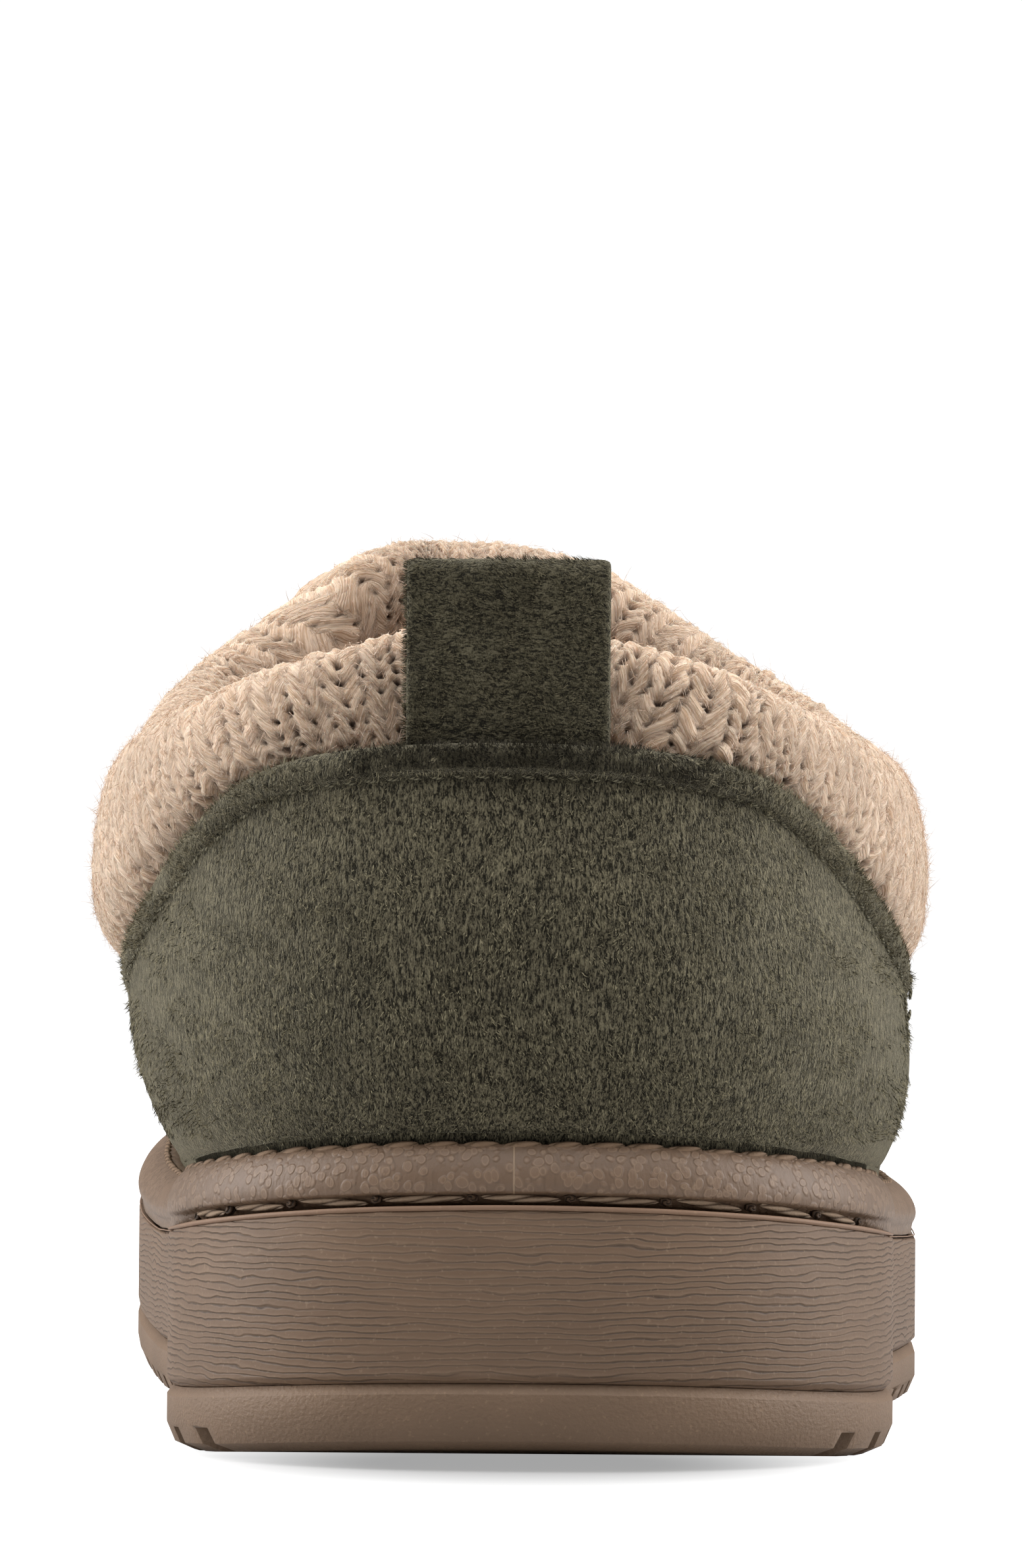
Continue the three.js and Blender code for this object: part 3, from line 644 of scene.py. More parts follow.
# The folded loop is one soft skin, with no sharp edge at its fold or sides
loopLook = {"skin": 0.35 * mm, "smooth": 0.5, "rounds": 9}
tab = copyNode("pull_tab", "pullLoop")
applyModifier(tab, "REMESH", {"mode": "VOXEL", "voxel_size": loopLook["skin"]})
applyModifier(tab, "SMOOTH", {"factor": loopLook["smooth"], "iterations": loopLook["rounds"]})
bpy.ops.object.shade_smooth()
dress(tab, [suedeTab], ["pull_tab"])
print("sole, upper and loop dressed")

upperTree = treeOf(upper)
weltTree = treeOf(weltBase)
midsoleTree = treeOf(midsole)
stations = planStations()
# The inside of the upper is lined: a face there looks at the middle of the shoe
for face in upper.data.polygons:
    middle = Vector((0, min(max(face.center.y, -85 * mm), 85 * mm), 40 * mm))
    if (middle - face.center).dot(face.normal) > 0:
        face.material_index = 1

# Heel counter: a skin laid on the solid, with a folded hem round its free edge
counterLook = {
    "topSearch": 79 * mm,
    "foot": 31 * mm,          # hidden behind the welt
    "least": 6 * mm,          # no column is shorter
    "forward": -50 * mm,      # the counter ends behind this
    "step": 0.2 * mm,
    "rows": 84,
    "hemWidth": 3.3 * mm,
    "hemRaise": 0.42 * mm,
    "hemEdge": 1.1 * mm,      # how far in the fold is rounded
    "troughDepth": 0.3 * mm,
    "troughWidth": 0.5 * mm,
    "backHalf": 20 * mm,      # the hem is thickest, and its painted shade darkest, this far each side of the middle
    "flank": (26, 36),        # and fades between these distances from it, in millimetres
    "sunk": 0.25 * mm,
    "skin": 1.0 * mm,
}


def makeCounter():
    s = counterLook
    base = copyNode("heel_counter", "counterBase")
    smoothOut(base, 3)
    tree = treeOf(base)
    order = stations[len(stations) // 2:] + stations[:len(stations) // 2]
    grid = []
    for station in order:
        if station[0][1] > s["forward"]:
            continue
        top = s["topSearch"]
        while top > s["foot"] + s["least"] and reachAt(tree, station, top) is None:
            top -= s["step"]
        if reachAt(tree, station, top - 1.5 * s["step"]) is None or top <= s["foot"] + s["least"] + s["step"]:
            continue
        column = []
        for k in range(s["rows"] + 1):
            height = top - s["sunk"] + (s["foot"] - top) * k / s["rows"]
            reach = reachAt(tree, station, height)
            column.append(column[-1] if reach is None else placeAt(station, reach, height))
        grid.append(column)
    removePiece(base)
    print("counter columns", len(grid))
    return np.array(grid)


def gridNormals(grid):
    along = np.gradient(grid, axis=0)
    down = np.gradient(grid, axis=1)
    return unit(np.cross(down, along))


# The skin with its hem, the painted shade under and behind the hem, and what the stitches and the nap are laid by
def finishCounter(grid):
    s = counterLook
    # the top edge and the columns are evened out
    for _ in range(3):
        grid[1:-1] = (grid[:-2] + 2 * grid[1:-1] + grid[2:]) / 4
    normals = gridNormals(grid)
    edge = np.vstack([grid[0, ::2], grid[:, 0], grid[-1, ::2]])
    flat = grid.reshape(-1, 3)
    away = np.full(len(flat), 1.0)
    for i in range(0, len(edge), 64):
        part = edge[i:i + 64]
        away = np.minimum(away, np.linalg.norm(flat[:, None, :] - part[None], axis=2).min(1))
    away = away.reshape(grid.shape[:2])
    centre = np.exp(-(grid[..., 0] / s["backHalf"]) ** 2) * (grid[..., 1] < -0.1)
    width = s["hemWidth"]
    plateau = ease((width - away) / (0.35 * mm) + 0.5)
    rounded = np.sqrt(1 - (1 - np.clip(away / s["hemEdge"], 0, 1)) ** 2)
    puff = 0.85 + 0.15 * np.sin(np.clip(away / width, 0, 1) * math.pi)
    trough = np.exp(-((away - width - 0.15 * mm) / (s["troughWidth"] / 2 * (1 + 0.6 * centre))) ** 2)
    flank = np.clip(np.interp(np.abs(grid[..., 0]) / mm, s["flank"], (0, 1)), 0, 1)
    lift = (s["hemRaise"] * plateau * puff * rounded * (1 + 0.5 * centre) * (1 - 0.55 * flank)
            - s["troughDepth"] * trough * (1 + 1.2 * centre) * (1 - 0.75 * flank))
    outer = grid + normals * (lift - s["sunk"])[..., None]
    inner = grid - normals * s["skin"]
    rows, cols = grid.shape[0], grid.shape[1]
    points = np.concatenate([outer.reshape(-1, 3), inner.reshape(-1, 3)])
    index = np.arange(rows * cols).reshape(rows, cols)
    a, b, c, d = index[:-1, :-1], index[1:, :-1], index[1:, 1:], index[:-1, 1:]
    front = np.stack([a, d, c, b], -1).reshape(-1, 4)
    back = front[:, ::-1] + rows * cols
    rim = np.concatenate([index[:, 0], index[-1, 1:], index[-2::-1, -1], index[0, -2:0:-1]])
    following = np.roll(rim, -1)
    side = np.stack([rim, following, following + rows * cols, rim + rows * cols], -1)
    piece = meshPiece("suedeCounter", points, np.concatenate([front, back, side]))
    faceOutwards(piece)
    hem = piece.data.attributes.new("hem", "FLOAT", "POINT")
    # painted shade, stored as 'hem': the hem and its edge across the middle of the back, under the loop, and the trough
    # under the hem's edge are darkened
    shade = np.clip((width + 0.4 * mm - away) / (0.6 * mm), 0, 1) * (0.85 * centre) + (0.5 + 0.8 * centre) * trough
    shade = shade + 0.7 * centre * np.clip(1 - np.abs(away - width) / (2.2 * mm), 0, 1)
    hem.data.foreach_set("value", np.concatenate([shade.reshape(-1), np.zeros(rows * cols)]).clip(0, 1))
    return piece, outer, normals, away


counter, counterOuter, counterNormals, counterAway = finishCounter(makeCounter())
dress(counter, [suede], ["heel_counter"])
counterTree = treeOf(counter)
print("counter and hem made")

# Collar: a stuffed roll in chunky knit, brushed so that its fibres run along each stitch and stand off it
collarKnit = {
    "column": 3.1,            # millimetres, as are all sizes here: a column is two legs wide
    "pitch": 2.15,
    "slope": 1.6,             # how far a leg runs down its column for each millimetre across
    "relief": 0.85,
    "wander": ((9.0, 0.5), (3.0, 0.2)),    # how the columns stray sideways: over this length, by this much
    "sag": ((7.0, 0.7), (2.6, 0.25)),      # and the rows up and down
    "uneven": 0.3,            # how much the slope and the plumpness vary, as shares
    "pit": 1.7,               # depth of the holes between stitches
    "sunk": 0.6,              # so that the crowns of the stitches stand at the solid's surface
    "step": 0.42,
    "clear": 0.5,
    "laidFibres": {"count": 46000, "length": (1.3, 3.2), "curl": 0.2, "segments": 2, "least": 0.75},
    "strayFibres": {"count": 8000, "length": (0.7, 1.7), "curl": 0.5, "segments": 3, "least": 0.98},
    "fibreWidth": 0.075,
}


# The roll's surface as rings of places, by their distance from its crest, and half the way round each ring
def collarSurface(piece):
    tree = treeOf(piece)
    points = np.array([v.co[:] for v in piece.data.vertices])
    centre = (points.min(0) + points.max(0)) / 2
    angle = np.arctan2(points[:, 1] - centre[1], points[:, 0] - centre[0])
    spine = []
    for a in np.linspace(0, 2 * math.pi, 120, endpoint=False):
        away = np.angle(np.exp(1j * (angle - a)))
        weight = np.exp(-(away / 0.08) ** 2)
        spine.append((points * weight[:, None]).sum(0) / weight.sum())
    spine, tangent = evenSteps(spine, 1.5 * mm)
    outward = unit(np.cross(tangent, (0, 0, 1)))
    up = unit(np.cross(outward, tangent))
    turns = np.radians(np.arange(0, 360, 4))
    section = np.zeros((len(spine), len(turns), 3))
    for i in range(len(spine)):
        last = 7 * mm
        for j, a in enumerate(turns):
            ray = outward[i] * math.cos(a) + up[i] * math.sin(a)
            place, normal, face, distance = tree.ray_cast(Vector(spine[i]), Vector(ray), 0.05)
            last = distance if place is not None else last
            section[i, j] = spine[i] + ray * last
    section = evenOut(section, 4)
    crest = section[:, :, 2].argmax(1)
    turnBy = np.exp(1j * turns[crest])
    for _ in range(12):
        turnBy = (np.roll(turnBy, 1) + turnBy + np.roll(turnBy, -1)) / 3
    crest = np.round(np.degrees(np.angle(turnBy)) / 4).astype(int)
    offsets = np.arange(-42, 42.01, 0.5) * mm
    surface = np.zeros((len(spine), len(offsets), 3))
    half = np.zeros(len(spine))
    for i in range(len(spine)):
        ring = np.roll(section[i], -crest[i], axis=0)
        outer = np.vstack([ring[:1], ring[::-1]])            # downwards on the outside
        inner = np.vstack([ring, ring[:1]])                  # downwards on the inside
        for line, sign in ((outer, 1), (inner, -1)):
            gone = np.concatenate([[0], np.cumsum(np.linalg.norm(np.diff(line, axis=0), axis=1))])
            half[i] = gone[-1] / 2
            use = offsets > 0 if sign == 1 else offsets <= 0
            for axis in range(3):
                surface[i, use, axis] = np.interp(np.abs(offsets[use]), gone, line[:, axis])
    return surface, offsets, half


collarCopy = copyNode("knit_collar", "collarCopy")
smoothOut(collarCopy, 2)
collarGrid, collarOffsets, collarHalf = collarSurface(collarCopy)
removePiece(collarCopy)
print("collar section half perimeters mm", (collarHalf * 1000).round(1)[::24].tolist(), "stations", len(collarGrid))


# Place, row direction, down direction and normal at a share round the collar and a distance from its crest
def onCollar(share, offset):
    count = len(collarGrid)
    i = (np.asarray(share) % 1.0) * count
    j = (np.asarray(offset) - collarOffsets[0]) / (collarOffsets[1] - collarOffsets[0])

    def take(i, j):
        j = np.clip(j, 0, len(collarOffsets) - 1.001)
        i0, j0 = np.floor(i).astype(int), np.floor(j).astype(int)
        fi, fj = (i - i0)[:, None], (j - j0)[:, None]
        i0, i1, j1 = i0 % count, (i0 + 1) % count, j0 + 1
        return ((collarGrid[i0, j0] * (1 - fi) + collarGrid[i1, j0] * fi) * (1 - fj)
                + (collarGrid[i0, j1] * (1 - fi) + collarGrid[i1, j1] * fi) * fj)

    along = unit(take(i + 1, j) - take(i - 1, j))
    down = unit(take(i, j + 1.5) - take(i, j - 1.5))
    normal = unit(np.cross(down, along))
    return take(i, j), along, down, normal


def halfAt(share):
    i = (np.asarray(share) % 1.0) * len(collarHalf)
    return collarHalf[np.floor(i).astype(int) % len(collarHalf)]


# Room between a place on the collar and the suede that holds it
def roomAt(place, normal):
    near = min(t.find_nearest(Vector(place))[3] for t in (upperTree, counterTree))
    probe = Vector(place + normal * 0.2 * mm)
    for tree in (upperTree, counterTree):
        found, _, _, distance = tree.ray_cast(probe, Vector(normal), 4 * mm)
        if found is not None:
            near = min(near, distance * 0.4)
    return near


# Smooth random values over the sheet: a coarse lattice of numbers, blended between its points
def softNoise(u, v, size, seed, wrap=None):
    cells = 512 if wrap is None else max(1, round(wrap / size))
    lattice = np.random.default_rng(seed).normal(size=(cells, 256))
    x, y = u / (size if wrap is None else wrap / cells), v / size + 100.7
    i, j = np.floor(x).astype(int), np.floor(y).astype(int)
    fx, fy = x - i, y - j
    fx, fy = ease(fx), ease(fy)
    a, b = lattice[i % cells, j % 256], lattice[(i + 1) % cells, j % 256]
    c, d = lattice[i % cells, (j + 1) % 256], lattice[(i + 1) % cells, (j + 1) % 256]
    return (a * (1 - fx) + b * fx) * (1 - fy) + (c * (1 - fx) + d * fx) * fy


# The crest is the middle line of the sheet
crestLine = collarGrid[:, len(collarOffsets) // 2]
collarLength = np.linalg.norm(crestLine - np.roll(crestLine, -1, 0), axis=1).sum() / mm
columnCount = 2 * round(collarLength / collarKnit["column"])


# Height of the knit in millimetres and which way its stitches lean, at a distance round the collar and from the crest
def knitRelief(u, v):
    s = collarKnit
    half = collarLength / columnCount
    wave = collarLength
    u2, v2 = [at + sum(by * softNoise(u, v, size, seed + k, wave) for k, (size, by) in enumerate(strays))
              for at, strays, seed in ((u, s["wander"], 1), (v, s["sag"], 3))]
    leg = np.floor(u2 / half)
    across = u2 / half - leg
    leg = leg % columnCount
    lean = np.where(leg % 2 == 0, 1.0, -1.0)
    # each leg curves into the next, and leans a little more or less than its neighbours
    bow = (across - 0.5) * (1 + 0.8 * (0.25 - (across - 0.5) ** 2))
    slope = s["slope"] * (1 + s["uneven"] * softNoise(u, v, 4.0, 8, wave))
    along = (v2 - lean * bow * half * slope) / s["pitch"] + 0.37 * np.floor(leg / 2)
    stitch = np.floor(along)
    off = np.abs(along - stitch - 0.5) * 2
    arch = np.sin(np.clip(across, 0, 1) * math.pi) ** 0.6
    plump = 1 + s["uneven"] * softNoise(stitch * 1.7 + 0.5, leg * 1.3 + 0.5, 1.0, 5)
    height = s["relief"] * (1 - 0.75 * off ** 2.4) * (0.55 + 0.45 * arch) * plump
    # where two legs meet the knit opens in a pit, wider at some stitches than at others
    edge = np.exp(-((across - 0.02) / 0.2) ** 2) + np.exp(-((across - 0.98) / 0.2) ** 2)
    pulled = np.clip(0.3 + 1.3 * softNoise(stitch * 2.3 + 0.5, leg * 1.9 + 0.5, 1.0, 6), 0, 1.6)
    height = height - s["pit"] * edge * np.clip(off - 0.25, 0, 1) * pulled
    strand = np.stack([along * s["pitch"], u2, leg * 7.3], -1)
    return height, lean, off, strand


# The yarn is brushed so far on the flanks, and less over the crest, that its stitches all but close
def brushedAt(place, normal):
    side = np.clip((np.abs(normal[:, 0]) - 0.5) / 0.3, 0, 1) * 0.8
    flank = np.clip((np.abs(place[:, 0]) / mm - 34) / 7, 0, 1) * np.clip((place[:, 2] / mm - 60) / 8, 0, 1)
    far = np.clip((place[:, 1] / mm + 100) / 25, 0, 1) * 0.3
    return np.clip(np.maximum(np.maximum(side, flank), far), 0, 1)


# The knitted sheet over the whole roll, and how much of its relief each place has room for
def makeKnit():
    s = collarKnit
    around = round(collarLength / s["step"])
    reach = float(collarHalf.max()) * 1000 + 0.5
    lines = np.arange(-reach, reach + 0.01, s["step"])
    u, v = np.meshgrid(np.arange(around) * collarLength / around, lines, indexing="ij")
    share = (u / collarLength).ravel()
    half = halfAt(share) * 1000
    offset = np.clip(v.ravel(), -half, half)
    place, along, down, normal = onCollar(share, offset * mm)
    room = np.full((around, len(lines)), 9.0)
    for i in range(0, around, 3):
        for j in range(0, len(lines), 3):
            k = i * len(lines) + j
            if abs(offset[k]) < half[k]:
                room[i:i + 3, j:j + 3] = roomAt(place[k], normal[k]) * 1000
    for _ in range(3):
        room = (np.roll(room, 1, 0) + np.roll(room, -1, 0) + np.roll(room, 1, 1) + np.roll(room, -1, 1)) / 4
    room = room.ravel()
    give = np.clip((room - s["clear"]) / 1.1, 0, 1) * np.clip((half - np.abs(offset)) / 3.0, 0, 1)
    height, lean, off, strand = knitRelief(u.ravel(), offset)
    brushed = brushedAt(place, normal)
    height = height * (1 - 0.7 * brushed) + 0.35 * brushed
    points = place + normal * ((height - s["sunk"]) * give * mm)[:, None]
    piece = meshPiece("collarKnit", points, ringFaces(np.arange(around * len(lines)).reshape(around, len(lines))))
    # what the yarn's colours follow: painted shade by how deep a place lies and how far inside the shoe, and the run of
    # the strand
    depth = piece.data.attributes.new("depth", "FLOAT", "POINT")
    depth.data.foreach_set("value", np.clip(0.5 - height / 1.8, 0, 1))
    inside = piece.data.attributes.new("inside", "FLOAT", "POINT")
    inside.data.foreach_set("value", np.clip((-offset - 3) / 9, 0, 1))
    run = piece.data.attributes.new("strand", "FLOAT_VECTOR", "POINT")
    run.data.foreach_set("vector", strand.ravel())
    faceOutwards(piece, merge=0.004 * mm)
    return piece, give.reshape(around, len(lines)), lines


knit, knitGive, knitLines = makeKnit()
dress(knit, [yarn], ["knit_collar"])
print("knit", len(knit.data.polygons), "faces")


# Fibres of the yarn: laid along the stitches, or strays that stand off the sheet at any angle
def makeYarnFibres(name, fibres, laid):
    s = collarKnit
    count = fibres["count"]
    u, v = rng.random(count) * collarLength, rng.uniform(-1, 1, count) * 33
    share = u / collarLength
    half = halfAt(share) * 1000
    column = np.floor(share * knitGive.shape[0]).astype(int) % knitGive.shape[0]
    line = np.clip(((v - knitLines[0]) / s["step"]).astype(int), 0, len(knitLines) - 1)
    give = knitGive[column, line]
    height, lean, off, strand = knitRelief(u, v)
    keep = (np.abs(v) < half - 2) & (give > fibres["least"])
    if laid:
        keep &= off < 0.8
    u, v, height, lean, give = u[keep], v[keep], height[keep], lean[keep], give[keep]
    place, along, down, normal = onCollar(u / collarLength, v * mm)
    brushed = brushedAt(place, normal)
    height = height * (1 - 0.7 * brushed) + 0.35 * brushed
    count = len(u)
    if laid:
        turn = np.arctan2(lean * s["slope"], 1.0) + rng.normal(0, 0.25, count)
        turn += np.where(rng.random(count) < 0.5, math.pi, 0.0)
        rise = rng.normal(0.1, 0.12, count)
    else:
        turn = rng.uniform(0, 2 * math.pi, count)
        rise = rng.uniform(0.1, 0.9, count)
    run = unit(along * np.cos(turn)[:, None] + down * np.sin(turn)[:, None] + normal * rise[:, None])
    low, high = fibres["length"]
    length = (low + (high - low) * rng.random(count) ** 1.5) * mm
    lift = ((height - s["sunk"]) * give + rng.uniform(-0.05, 0.22, count)) * mm
    roots = place + normal * lift[:, None]
    if laid:
        roots = roots - run * (length / 2)[:, None]
    return addFibres(name, roots, normal, run, length, s["fibreWidth"] * mm, fibres["curl"], fibres["segments"])


laidFibres = makeYarnFibres("yarnFibres", collarKnit["laidFibres"], True)
dress(laidFibres, [fibreYarn])
strayFibres = makeYarnFibres("strayFibres", collarKnit["strayFibres"], False)
dress(strayFibres, [fibreYarn])
print("fibres", len(laidFibres.data.polygons), len(strayFibres.data.polygons))

# Welt: a fat rolled bead with a stitched gutter under it, a laid cord along its top and waxed thread in the gutter
weltLook = {
    "rows": 44,
    "gutterHeight": 1.25 * mm,
    "gutterDepth": 1.25 * mm,
    "thickness": 1.6 * mm,
    "topThickness": 4.2 * mm,           # where it goes in under the suede
    "searchFrom": 46 * mm,
    "step": 0.15 * mm,
    "lipRadius": 0.27 * mm,
}
seamLook = {
    "cordPitch": 4.3 * mm,
    "cord": (1.1 * mm, 1.1 * mm, 4.5 * mm),
    "threadPitch": 10.2 * mm,
    "thread": (0.85 * mm, 0.9 * mm, 8.6 * mm),
    "knot": (1.43 * mm, 1.1 * mm, 1.1 * mm),
}


# The bead with its gutter, and the lines that the cord, the thread and the foam's lip follow
def makeWelt():
    s = weltLook
    columns = []
    for station in stations:
        # down from the suede to where the bead shows, and on to where the foam comes out past it
        high = s["searchFrom"]
        while high > 20 * mm and (reachAt(weltTree, station, high) or 0) <= (reachAt(upperTree, station, high) or 0):
            high -= s["step"]
        low = high
        while low > 15 * mm and ((reachAt(midsoleTree, station, low) or 0)
                                 <= (reachAt(weltTree, station, low) or 0) - 0.1 * mm):
            low -= s["step"]
        low += s["step"]
        column = []
        for k in range(s["rows"] + 1):
            level = high + (low - high) * k / s["rows"]
            reach = reachAt(weltTree, station, level)
            column.append((reach if reach is not None else column[-1][0], level))
        columns.append(column)
    table = evenOut(columns, 4)
    above = table[:, :, 1] - table[:, -1:, 1]
    cut = ease((s["gutterHeight"] - above) / (0.5 * mm) + 0.5)
    # the gutter is open round the heel and closes to a crease along the flanks
    along = np.array([station[0][1] + 0.04 * station[1][1] for station in stations])
    gape = 1 - 0.95 * np.clip((along + 112 * mm) / (16 * mm), 0, 1)
    reach = table[:, :, 0] - s["gutterDepth"] * gape[:, None] * cut
    # along the flanks the bead comes down on to the edge of the foam
    foamReach = np.array([reachAt(midsoleTree, stations[i], table[i, -1, 1] - 0.7 * mm) or table[i, -1, 0]
                          for i in range(len(stations))])
    short = np.clip(evenOut(foamReach, 4)[:, None] - 0.25 * mm - reach, 0, 1)
    reach = reach + short * (1 - gape)[:, None] * np.clip(1 - above / (2.4 * mm), 0, 1) ** 0.6
    grid = np.array([[placeAt(stations[i], reach[i, k], table[i, k, 1]) for k in range(s["rows"] + 1)]
                     for i in range(len(stations))])
    back = np.array([station[1] for station in stations])[:, None, :]
    thick = s["thickness"] + (s["topThickness"] - s["thickness"]) * np.clip(1 - np.arange(grid.shape[1]) / 10, 0, 1)
    inner = grid - back * thick[None, :, None]
    count, rows = grid.shape[:2]
    index = np.arange(count * rows).reshape(count, rows)
    # the bead's face, its inner wall, and a strip that joins the two along each edge
    sheet = ringFaces(index)
    rims = [ringFaces(np.stack(pair, 1)) for pair in ((index[:, 0] + count * rows, index[:, 0]),
                                                      (index[:, -1], index[:, -1] + count * rows))]
    piece = meshPiece("weltBead", np.concatenate([grid.reshape(-1, 3), inner.reshape(-1, 3)]),
                      np.concatenate([sheet, sheet[:, ::-1] + count * rows, *rims]))
    faceOutwards(piece)
    topLine, gutterLine, lipLine = [
        evenOut([placeAt(stations[i], reaches[i], heights[i]) for i in range(count)], 6)
        for reaches, heights in ((table[:, 0, 0] - 0.1 * mm, table[:, 0, 1] - 0.2 * mm),
                                 (table[:, -1, 0] + 0.35 * mm - 1.4 * mm * (1 - gape), table[:, -1, 1] + 0.75 * mm),
                                 (foamReach - 0.05 * mm, table[:, -1, 1] - 0.2 * mm))]
    return piece, topLine, gutterLine, lipLine


welt, topLine, gutterLine, lipLine = makeWelt()
removePiece(weltBase)
dress(welt, [weltLeather], ["welt"])
print("welt made")


# One stitch: a ball drawn out to its size, to be copied
def makeStrand(size, segments=8, rings=7):
    bpy.ops.mesh.primitive_uv_sphere_add(segments=segments, ring_count=rings, radius=0.5)
    strand = bpy.context.object
    bpy.ops.object.mode_set(mode="EDIT")
    bpy.ops.transform.resize(value=size)
    bpy.ops.object.mode_set(mode="OBJECT")
    return strand


# The cord's scallops overlap a little, and no two are quite alike
def makeTopCord():
    s = seamLook
    places = []
    for place, along in zip(*evenSteps(topLine, s["cordPitch"])):
        directions = leanAlong(along, 5 + rng.normal(0, 1.2))
        places.append(standAt(place, directions, (1 + rng.normal(0, 0.08), 1, 1 + rng.normal(0, 0.08))))
    return gather(makeStrand(s["cord"]), places, "weltCord")


def makeThread():
    s = seamLook
    places, knots = [], []
    for place, along in zip(*evenSteps(gutterLine, s["threadPitch"])):
        directions = leanAlong(along, -4 + rng.normal(0, 2.0))
        places.append(standAt(place, directions, (1, 1, 1 + rng.normal(0, 0.04))))
        out = unit(np.cross(along, (0, 0, 1)))
        between = place + along * s["threadPitch"] / 2 - out * 0.2 * mm
        knots.append(standAt(between, (along, (0, 0, 1), out)))
    return (gather(makeStrand(s["thread"]), places, "weltThread"),
            gather(makeStrand(s["knot"], 6, 5), knots, "threadKnots"))


# Round bead along a closed line, thinner forward of the heel
def makeBead(name, line, radius):
    curve = bpy.data.curves.new(name, "CURVE")
    curve.dimensions = "3D"
    curve.bevel_depth = radius
    curve.bevel_resolution = 2
    spline = curve.splines.new("POLY")
    spline.points.add(len(line) - 1)
    spline.points.foreach_set("co", np.hstack([line, np.ones((len(line), 1))]).ravel())
    spline.points.foreach_set("radius", [float(np.interp(p[1], (-0.112, -0.09), (1, 0.3))) for p in line])
    spline.use_cyclic_u = True
    bead = bpy.data.objects.new(name, curve)
    bpy.context.collection.objects.link(bead)
    pick(bead)
    bpy.ops.object.convert(target="MESH")
    bpy.ops.object.shade_smooth()
    return bpy.context.object


lip = makeBead("foamLip", lipLine, weltLook["lipRadius"])
dress(lip, [lipRubber])
cord = makeTopCord()
dress(cord, [cordTop])
thread, threadKnots = makeThread()
dress(thread, [threadBrown])
dress(threadKnots, [knotBrown])
print("welt seams made")


# Topstitch under the hem of the counter
hemStitchLook = {
    "strand": (0.42 * mm, 0.42 * mm, 1.5 * mm),
    "pitch": 2.3 * mm,
    "under": 0.2 * mm,        # below the hem's edge
    "lift": 0.1 * mm,
    "tilt": (12, 6),          # degrees, and how much they vary
}


def makeHemStitch():
    s = hemStitchLook
    line = []
    for i in range(counterOuter.shape[0]):
        j = int(np.argmin(np.abs(counterAway[i, :40] - counterLook["hemWidth"] - s["under"])))
        line.append(counterOuter[i, j] + counterNormals[i, j] * s["lift"])
    places = []
    for place, along in list(zip(*evenSteps(line, s["pitch"], closed=False)))[1:-1]:
        normal = np.array(counterTree.find_nearest(Vector(place))[1])
        wide = unit(np.cross(along, normal))
        tilt = math.radians(rng.normal(*s["tilt"]))
        run = unit(along * math.cos(tilt) + wide * math.sin(tilt))
        places.append(standAt(place, (np.cross(normal, run), normal, run)))
    return gather(makeStrand(s["strand"], 6, 5), places, "hemStitch")


hemStitch = makeHemStitch()
dress(hemStitch, [threadGreen])
print("hem stitched")

# Short nap that lies on the suede and stands off its free edges and over the welt
napLook = {
    "tab": 15000,
    "hem": 10000,
    "back": 7000,
    "body": 42000,
    "length": (0.4, 0.85),    # millimetres
    "width": 0.11,            # two or three real fibres, so that they show
    "curl": 0.25,
    "hemReach": 3.6 * mm,
    "backHalf": 21 * mm,      # the hem's nap is a darker copy, painted shade, this far each side of the middle, and a lighter copy, painted light, past it
}


# Even random places on a piece, only where they are wanted, with the way each faces
def scatter(piece, count, wanted=None):
    mesh = piece.data
    mesh.calc_loop_triangles()
    corners = np.array([t.vertices[:] for t in mesh.loop_triangles])
    points = np.array([v.co[:] for v in mesh.vertices])
    a, b, c = points[corners[:, 0]], points[corners[:, 1]], points[corners[:, 2]]
    cross = np.cross(b - a, c - a)
    area = np.linalg.norm(cross, axis=1)
    if wanted is not None:
        area = area * wanted((a + b + c) / 3, unit(cross))
    pickAt = rng.choice(len(corners), size=count, p=area / area.sum())
    r1, r2 = np.sqrt(rng.random(count))[:, None], rng.random(count)[:, None]
    place = a[pickAt] * (1 - r1) + b[pickAt] * (r1 * (1 - r2)) + c[pickAt] * (r1 * r2)
    return place, unit(cross[pickAt])


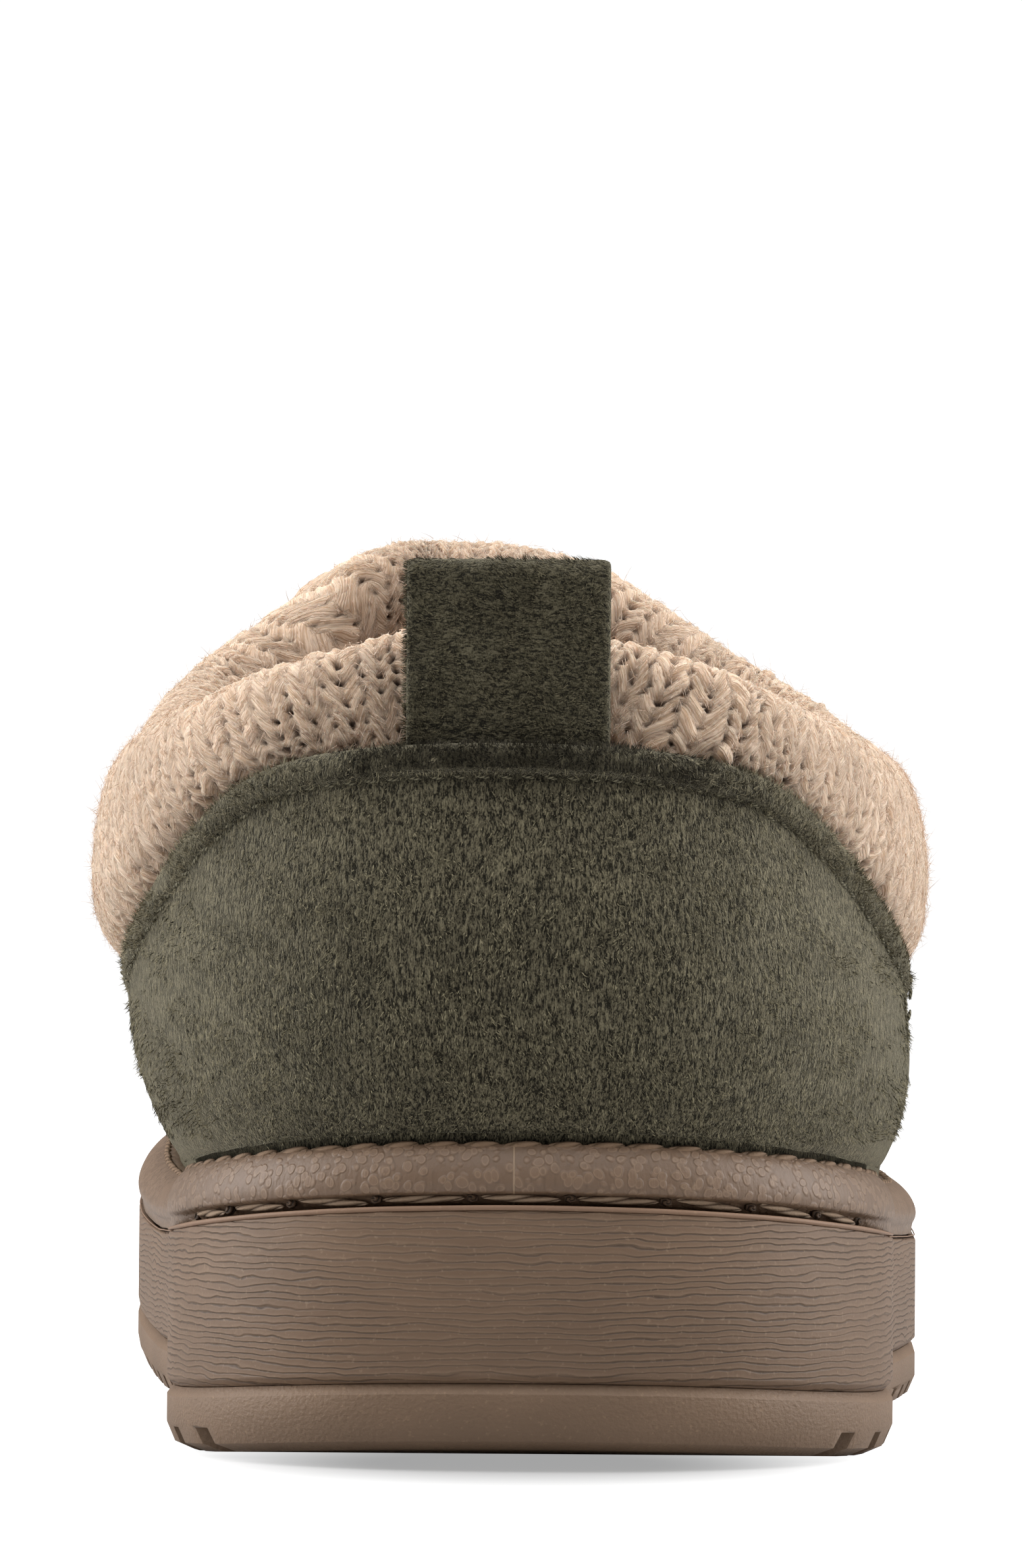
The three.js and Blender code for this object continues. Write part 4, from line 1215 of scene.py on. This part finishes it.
# Patches in which the nap lies another way, a few millimetres across
def sweptAt(place, size, seed):
    return np.stack([softNoise(place[:, 0] / mm, place[:, 2] / mm, size, seed + k) for k in range(3)], -1)


def makeNap(name, piece, count, lie, wanted=None, stand=(0.1, 0.32)):
    s = napLook
    place, normal = scatter(piece, count, wanted)
    swept = 0.45 * sweptAt(place, 2.6, 20) + 0.25 * sweptAt(place, 0.9, 30)
    off = normal * rng.uniform(*stand, count)[:, None]
    run = unit(off + np.array(lie) + swept + 0.15 * rng.normal(size=(count, 3)))
    low, high = s["length"]
    length = rng.uniform(low, high, count) * mm
    return addFibres(name, place, normal, run, length, s["width"] * mm, s["curl"], 2)


def nearHem(places, normals):
    edge = counterOuter[::2, 0]
    away = np.full(len(places), 1.0)
    for i in range(0, len(edge), 16):
        away = np.minimum(away, np.linalg.norm(places[:, None, :] - edge[None, i:i + 16], axis=2).min(1))
    return (away < napLook["hemReach"]) & (normals[:, 2] > -0.7)


def hemBack(places, normals):
    return nearHem(places, normals) & (rng.random(len(places)) < np.exp(-(places[:, 0] / napLook["backHalf"]) ** 4))


def hemSides(places, normals):
    return nearHem(places, normals) & (rng.random(len(places)) > np.exp(-(places[:, 0] / napLook["backHalf"]) ** 4))


def offHem(places, normals):
    return ~nearHem(places, normals) & (places[:, 2] > 34 * mm)


# the loop's nap takes the darker copy, painted shade
tabNap = makeNap("tabNap", tab, napLook["tab"], (-0.8, 0, 0.1))
dress(tabNap, [napFibreTabShade])
# the hem's nap in two copies: the lighter one on the sides is painted light, the darker one across the back is painted
# shade
hemNap = makeNap("hemNap", counter, napLook["hem"], (0, 0, 0.3), hemSides, (0.3, 0.8))
dress(hemNap, [napFibreLitCopy])
hemNapBack = makeNap("hemNapBack", counter, napLook["back"], (0, 0, 0.3), hemBack, (0.3, 0.9))
dress(hemNapBack, [napFibreShadedCopy])
bodyNap = makeNap("bodyNap", counter, napLook["body"], (0, 0, -0.6), offHem)
dress(bodyNap, [napFibre])
print("nap made")
